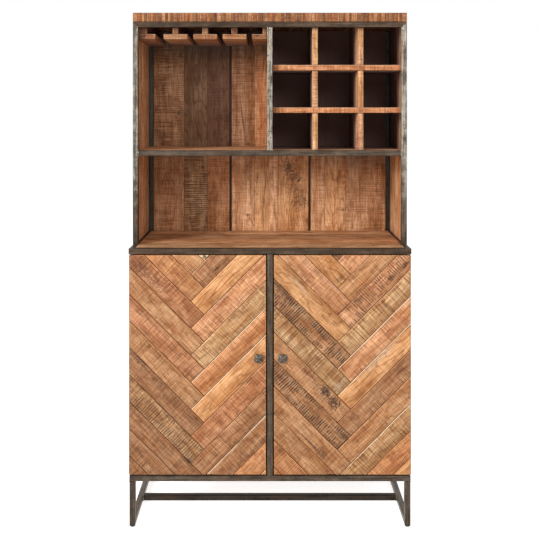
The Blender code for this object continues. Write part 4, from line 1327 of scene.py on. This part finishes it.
def knob_mesh(centre, head, back, nut_back, turn):
    """A forged square pyramid on a stem, with a round nut behind the door."""
    mesh_data = bmesh.new()
    ridge = mesh_data.verts.layers.float.new("ridge")
    rings = []
    for out, down in KNOB_PROFILE_SHARES:
        reaches = []
        for i in range(KNOB_SIDES):
            angle = math.tau * i / KNOB_SIDES
            square = 1 / max(abs(math.cos(angle)), abs(math.sin(angle)))
            dent = noise.noise(Vector((i * 0.9, down * 7, turn * 9))) * KNOB_DENT
            reaches.append((min(square, CUT_CORNER) * KNOB_HALF + dent) * out)
        rings.append(knob_ring(mesh_data, centre, head + (back - head) * down, reaches, turn))
    # Painted highlight: the vertices where the facets meet
    for ring in rings[:FACET_RINGS]:
        for vert in ring[KNOB_SIDES // 8::KNOB_SIDES // 4]:
            vert[ridge] = 1.0
    half_step = -math.pi / KNOB_SIDES
    nut_front = nut_back - NUT_THICK
    for radius, y in (
        (STEM_RADIUS, back),
        (STEM_RADIUS, nut_front),
        (NUT_RADIUS, nut_front),
        (NUT_RADIUS, nut_back),
    ):
        rings.append(knob_ring(mesh_data, centre, y, [radius] * KNOB_SIDES, half_step))
    for first, second in zip(rings, rings[1:]):
        for i in range(KNOB_SIDES):
            j = (i + 1) % KNOB_SIDES
            mesh_data.faces.new((first[i], first[j], second[j], second[i]))
    mesh_data.faces.new(rings[0])
    mesh_data.faces.new(rings[-1])
    bmesh.ops.recalc_face_normals(mesh_data, faces=mesh_data.faces)
    return mesh_data


class BARCABINET_OT_knobs(Operator):
    """Builds the two forged knobs, each turned a little on its stem"""

    bl_idname = "bar_cabinet.knobs"
    bl_label = "Knobs"

    def execute(self, context):
        material = knob_material("knob_finish")
        for side, turn in (("left", math.radians(8)), ("right", math.radians(3))):
            low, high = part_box(side + "_knob")
            mesh_data = knob_mesh((low + high) / 2, low.y, FRONT - SEAM, high.y, turn)
            knob = solid(side + "_knob_forged", mesh_data, material, sharp=22)
            hand_over(knob, side + "_door", "knob_iron", side + "_knob")
        return {"FINISHED"}


def pair(name):
    """The names of a left and a right node."""
    return ["left_" + name, "right_" + name]


# Each steel finish: its name, the axis of its streaks, its dull and its bright colour, how
# much of it is bright, how much is pitted, how gently they mix, and the nodes that have it
STEEL_FINISHES = (
    ("steel_across", ACROSS, "dark", "brushed", 0.45, 0.5, 0.16,
     ["front_base_rail", "rear_base_rail", "rear_counter_rail", "rear_hutch_top_rail",
      "front_middle_rail"]),
    ("steel_deep", DEEP, "dark", "brushed", 0.45, 0.5, 0.16,
     pair("base_rail") + pair("counter_rail")),
    ("steel_upright", UPRIGHT, "dark", "brushed", 0.45, 0.5, 0.16,
     ["right_front_leg", "door_mullion"] + pair("rear_post")),
    # Painted shade: the left leg has a darker copy of the upright steel, because the key lamp on the
    # left lights it more than the right leg
    ("steel_left_leg", UPRIGHT, "dark", "brushed", 0.12, 0.5, 0.16, ["left_front_leg"]),
    ("steel_brown", ACROSS, "brown", "tawny", 0.45, 0.5, 0.16,
     ["front_counter_rail", "front_hutch_top_rail"]),
    ("steel_runner", DEEP, "silver", "runner", 0.7, 0.3, 0.10, pair("runner")),
    ("steel_low", ACROSS, "pit", "dark", 0.8, 0.4, 0.10, ["floor_stretcher"]),
    ("steel_silver", UPRIGHT, "silver", "polished", 0.6, 0.9, 0.10,
     ["right_hutch_post", "hutch_centre_post"]),
    ("steel_tarnished", UPRIGHT, "silver", "polished", 0.27, 0.9, 0.10, ["left_hutch_post"]),
    ("steel_rear", UPRIGHT, "rear", "dark", 0.4, 0.5, 0.10, pair("hutch_rear_post")),
    ("steel_pin", UPRIGHT, "silver", "polished", 0.7, 0.2, 0.10,
     pair("door_lower_pin") + pair("door_upper_pin")),
)
PLASTIC_NODES = pair("front_glide") + pair("rear_glide") + ["door_catch"]


def dress_nodes(names, material):
    """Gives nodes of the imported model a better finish."""
    for name in names:
        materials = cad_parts[name].data.materials
        materials.clear()
        materials.append(material)


class BARCABINET_OT_steel(Operator):
    """Gives the steel tubes their brushed patina, and the small parts their finish"""

    bl_idname = "bar_cabinet.steel"
    bl_label = "Steel finish"

    def execute(self, context):
        for name, *look, names in STEEL_FINISHES:
            footed = name in ("steel_silver", "steel_tarnished")
            foot = MIDDLE_RAIL[0].z - 0.12 if footed else None
            dress_nodes(names, steel_material(name, *look, foot))
        dress_nodes(PLASTIC_NODES, plastic_material("black_plastic_finish"))
        return {"FINISHED"}


def weld_tree():
    """Overlapping drops of weld along the edges of a mesh."""
    nodes = GeometryTree("weld_beads", (
        ("Paths", "Geometry", None),
        ("Bead Radius", "Float", 0.0017),
        ("Bead Pitch", "Float", 0.0013),
        ("Seed", "Int", 2),
    ))
    given = nodes.given
    curve = nodes.shape("MeshToCurve", {"Mesh": given["Paths"]})
    spaced = {"Curve": curve, "Length": given["Bead Pitch"]}
    spots = nodes.shape("ResampleCurve", spaced, mode="LENGTH")
    drop = nodes.shape("MeshIcoSphere", {"Radius": given["Bead Radius"], "Subdivisions": 2})
    sizes = {0: (0.75, 0.75, 0.75), 1: (1.2, 1.2, 1.2), "Seed": given["Seed"]}
    size = nodes.add("FunctionNodeRandomValue", sizes, data_type="FLOAT_VECTOR").outputs[0]
    drops = nodes.shape("RealizeInstances", {0: nodes.copies(spots, drop, Scale=size)})
    return nodes.finish(nodes.shape("SetShadeSmooth", {0: drops}))


def butt_joint(face_x, direction, low, high):
    """Weld lines round the end of a rail that meets a post's side, but for its rear."""
    x = face_x + direction * WELD_INSET
    rear, front = high.y - WELD_SHORT, low.y + WELD_SHORT / 2
    return [
        ((x, front, high.z), (x, rear, high.z)),
        ((x, front, low.z), (x, rear, low.z)),
        ((x, front, low.z), (x, front, high.z)),
    ]


def weld_lines():
    """The lines along which the tubes are welded, from their start to their end."""
    low, high = MIDDLE_RAIL
    lines = butt_joint(low.x, 1, low, high) + butt_joint(high.x, -1, low, high)
    rows, row_reach, taper = 4, 0.0045, 0.001
    for x in (low.x - WELD_SHORT, high.x + WELD_SHORT):
        for row in range(rows):
            level = high.z - WELD_STEP / 2 - WELD_STEP * row
            reach = row_reach - taper * abs(row - 1)
            lines.append(((x - reach, low.y, level), (x + reach, low.y, level)))
    low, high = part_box("hutch_centre_post")
    for level in (low.z + WELD_INSET, high.z - WELD_INSET):
        for x in (low.x, high.x):
            lines.append(((x, low.y + WELD_SHORT, level), (x, high.y - WELD_SHORT, level)))
    low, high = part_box("floor_stretcher")
    lines += butt_joint(low.x, 1, low, high) + butt_joint(high.x, -1, low, high)
    for node in pair("front_leg"):
        low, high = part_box(node)
        short, level = 2 * WELD_SHORT, high.z - SEAM
        left, right, front, rear = low.x + short, high.x - short, low.y + short, high.y - short
        for x in (low.x, high.x):
            lines.append(((x, front, level), (x, rear, level)))
        lines.append(((left, high.y, level), (right, high.y, level)))
    return lines


class BARCABINET_OT_welds(Operator):
    """Lays weld beads where the tubes of the frames meet"""

    bl_idname = "bar_cabinet.welds"
    bl_label = "Weld beads"

    def execute(self, context):
        look = context.scene.bar_cabinet.steel
        values = {
            "Bead Radius": look.bead_radius,
            "Bead Pitch": look.bead_pitch,
            "Seed": 2,
            "Material": steel_material("weld_finish", DEEP, "dark", "polished", 0.65, 0.4),
        }
        lines = weld_lines()
        ends = [end for line in lines for end in line]
        edges = [(2 * i, 2 * i + 1) for i in range(len(lines))]
        small_steel("weld_beads", weld_tree(), values, ends, edges)
        return {"FINISHED"}


def screw_tree():
    """Round-headed screws with a cross recess, one on each point, facing the doors."""
    nodes = GeometryTree("post_screws", (
        ("Places", "Geometry", None),
        ("Head Radius", "Float", 0.0038),
        ("Head Height", "Float", SCREW_HEIGHT),
        ("Recess Width", "Float", SCREW_RECESS),
        ("Seed", "Int", 3),
    ))
    given = nodes.given
    radius, height, width = given["Head Radius"], given["Head Height"], given["Recess Width"]
    head = nodes.shape("MeshCylinder", {"Radius": radius, "Depth": height, "Vertices": 28})
    slot_length = nodes.times(radius, 1.1)
    lift = nodes.join(0.0, 0.0, nodes.times(height, 0.6))
    bars = []
    for size in (nodes.join(slot_length, width, height), nodes.join(width, slot_length, height)):
        bar = nodes.shape("MeshCube", {"Size": size})
        bars.append(nodes.shape("Transform", {"Geometry": bar, "Translation": lift}))
    recess = nodes.gather("JoinGeometry", 0, bars).outputs[0]
    cut = {"operation": "DIFFERENCE", "solver": "EXACT"}
    screw = nodes.gather("MeshBoolean", "Mesh 2", (recess,), **cut)
    nodes.feed(screw.inputs["Mesh 1"], head)
    nodes.feed(screw.inputs["Self Intersection"], True)
    angles = {"Seed": given["Seed"], 3: math.pi}
    spin = nodes.add("FunctionNodeRandomValue", angles, data_type="FLOAT").outputs[1]
    turn = nodes.join(math.pi / 2, spin, 0.0)
    screws = nodes.copies(given["Places"], screw.outputs[0], Rotation=turn)
    return nodes.finish(nodes.shape("RealizeInstances", {0: screws}))


class BARCABINET_OT_screws(Operator):
    """Sets the screws in the front of the rear posts"""

    bl_idname = "bar_cabinet.screws"
    bl_label = "Post screws"

    def execute(self, context):
        points = []
        for node in pair("hutch_rear_post"):
            low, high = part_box(node)
            for level in SCREW_LEVELS:
                points.append(((low.x + high.x) / 2, low.y - SCREW_STAND, level))
        values = {
            "Head Radius": context.scene.bar_cabinet.steel.screw_radius,
            "Head Height": SCREW_HEIGHT,
            "Recess Width": SCREW_RECESS,
            "Seed": 3,
            "Material": steel_material("screw_finish", UPRIGHT, "dark", "silver", 0.5, 0.3),
        }
        small_steel("post_screws", screw_tree(), values, points)
        return {"FINISHED"}


# Where the lamps stand, how wide and high they are, and the place that they both face
KEY_PLACE, KEY_SIZE = Vector((-4.7, -3.8, 3.4)), (1.2, 2.6)
FILL_PLACE, FILL_SIZE = Vector((1.5, -4.0, 3.4)), (2.6, 2.0)
LAMP_AIM = Vector((0, 0, 1.1))


def add_lamp(name, place, size, power):
    """A rectangular lamp that faces the middle of the cabinet."""
    lamp = bpy.data.lights.new(name, "AREA")
    lamp.shape = "RECTANGLE"
    lamp.size, lamp.size_y = size
    lamp.energy = power
    thing = new_object(name, lamp)
    thing.location = place
    thing.rotation_euler = (LAMP_AIM - place).to_track_quat("-Z", "Y").to_euler()


def build_floor(colour_value):
    """A pale floor that reads as white to the camera and keeps the cabinet's shadow."""
    shader = Shader("floor_finish")
    mottle = shader.patches(shader.place, 3, 2, 0.3, 0.7, 0.0, 0.04)
    base = shader.mix(mottle, colour_value, (0.80, 0.80, 0.79))
    shader.feed(shader.surface["Base Color"], base)
    shader.surface["Roughness"].default_value = 0.9
    shader.surface["Specular IOR Level"].default_value = 0.1
    shader.surface["Emission Color"].default_value = (1, 1, 1, 1)
    glow = shader.times(shader.seen_directly(), 0.8)
    shader.feed(shader.surface["Emission Strength"], glow)
    mesh_data = bmesh.new()
    bmesh.ops.create_grid(mesh_data, x_segments=1, y_segments=1, size=12)
    solid("floor", mesh_data, shader.material)


def build_world(strength):
    world = bpy.data.worlds.new("studio")
    world.use_nodes = True
    nodes = Nodes(world.node_tree)
    background = world.node_tree.nodes["Background"].inputs
    background["Color"].default_value = (1, 1, 1, 1)
    level = nodes.calc("MULTIPLY_ADD", nodes.seen_directly(), 1 - strength, strength)
    nodes.feed(background["Strength"], level)
    bpy.context.scene.world = world


class BARCABINET_OT_stage(Operator):
    """Sets up the pale floor, the studio light and the camera"""

    bl_idname = "bar_cabinet.stage"
    bl_label = "Stage"

    def execute(self, context):
        stage = context.scene.bar_cabinet.stage
        build_floor(stage.floor)
        build_world(stage.world)
        add_lamp("key_lamp", KEY_PLACE, KEY_SIZE, stage.key_power)
        add_lamp("fill_lamp", FILL_PLACE, FILL_SIZE, stage.fill_power)
        camera = bpy.data.cameras.new("camera")
        camera.lens = stage.lens
        camera.sensor_width = 36
        camera.shift_x = stage.shift_x
        camera.shift_y = stage.shift_y
        thing = new_object("camera", camera)
        thing.location = (stage.camera_x, FRONT - stage.distance, stage.camera_z)
        thing.rotation_euler = (math.radians(90), 0, 0)
        context.scene.camera = thing
        context.scene.view_settings.view_transform = "Standard"
        return {"FINISHED"}


OPERATORS = (
    BARCABINET_OT_steel,
    BARCABINET_OT_welds,
    BARCABINET_OT_screws,
    BARCABINET_OT_boards,
    BARCABINET_OT_back,
    BARCABINET_OT_rack,
    BARCABINET_OT_glass_rails,
    BARCABINET_OT_doors,
    BARCABINET_OT_knobs,
    BARCABINET_OT_stage,
)


class BARCABINET_PT_panel(Panel):
    """Lists the cabinet's pieces and their settings"""

    bl_idname = "BARCABINET_PT_panel"
    bl_label = "Bar Cabinet"
    bl_space_type = "VIEW_3D"
    bl_region_type = "UI"
    bl_category = "Bar Cabinet"

    def draw(self, context):
        settings = context.scene.bar_cabinet
        for operator in OPERATORS:
            self.layout.operator(operator.bl_idname)
        for group in (settings.doors, settings.timber, settings.steel, settings.stage):
            box = self.layout.box()
            for key in group.__annotations__:
                box.prop(group, key)


CLASSES = (
    BarCabinetTimber,
    BarCabinetSteel,
    BarCabinetDoors,
    BarCabinetStage,
    BarCabinetSettings,
    *OPERATORS,
    BARCABINET_PT_panel,
)


def register():
    for item in CLASSES:
        bpy.utils.register_class(item)
    bpy.types.Scene.bar_cabinet = PointerProperty(type=BarCabinetSettings)


def unregister():
    del bpy.types.Scene.bar_cabinet
    for item in reversed(CLASSES):
        bpy.utils.unregister_class(item)


def main():
    register()
    for operator in OPERATORS:
        getattr(bpy.ops.bar_cabinet, operator.bl_idname.split(".")[1])()


if __name__ == "__main__":
    main()
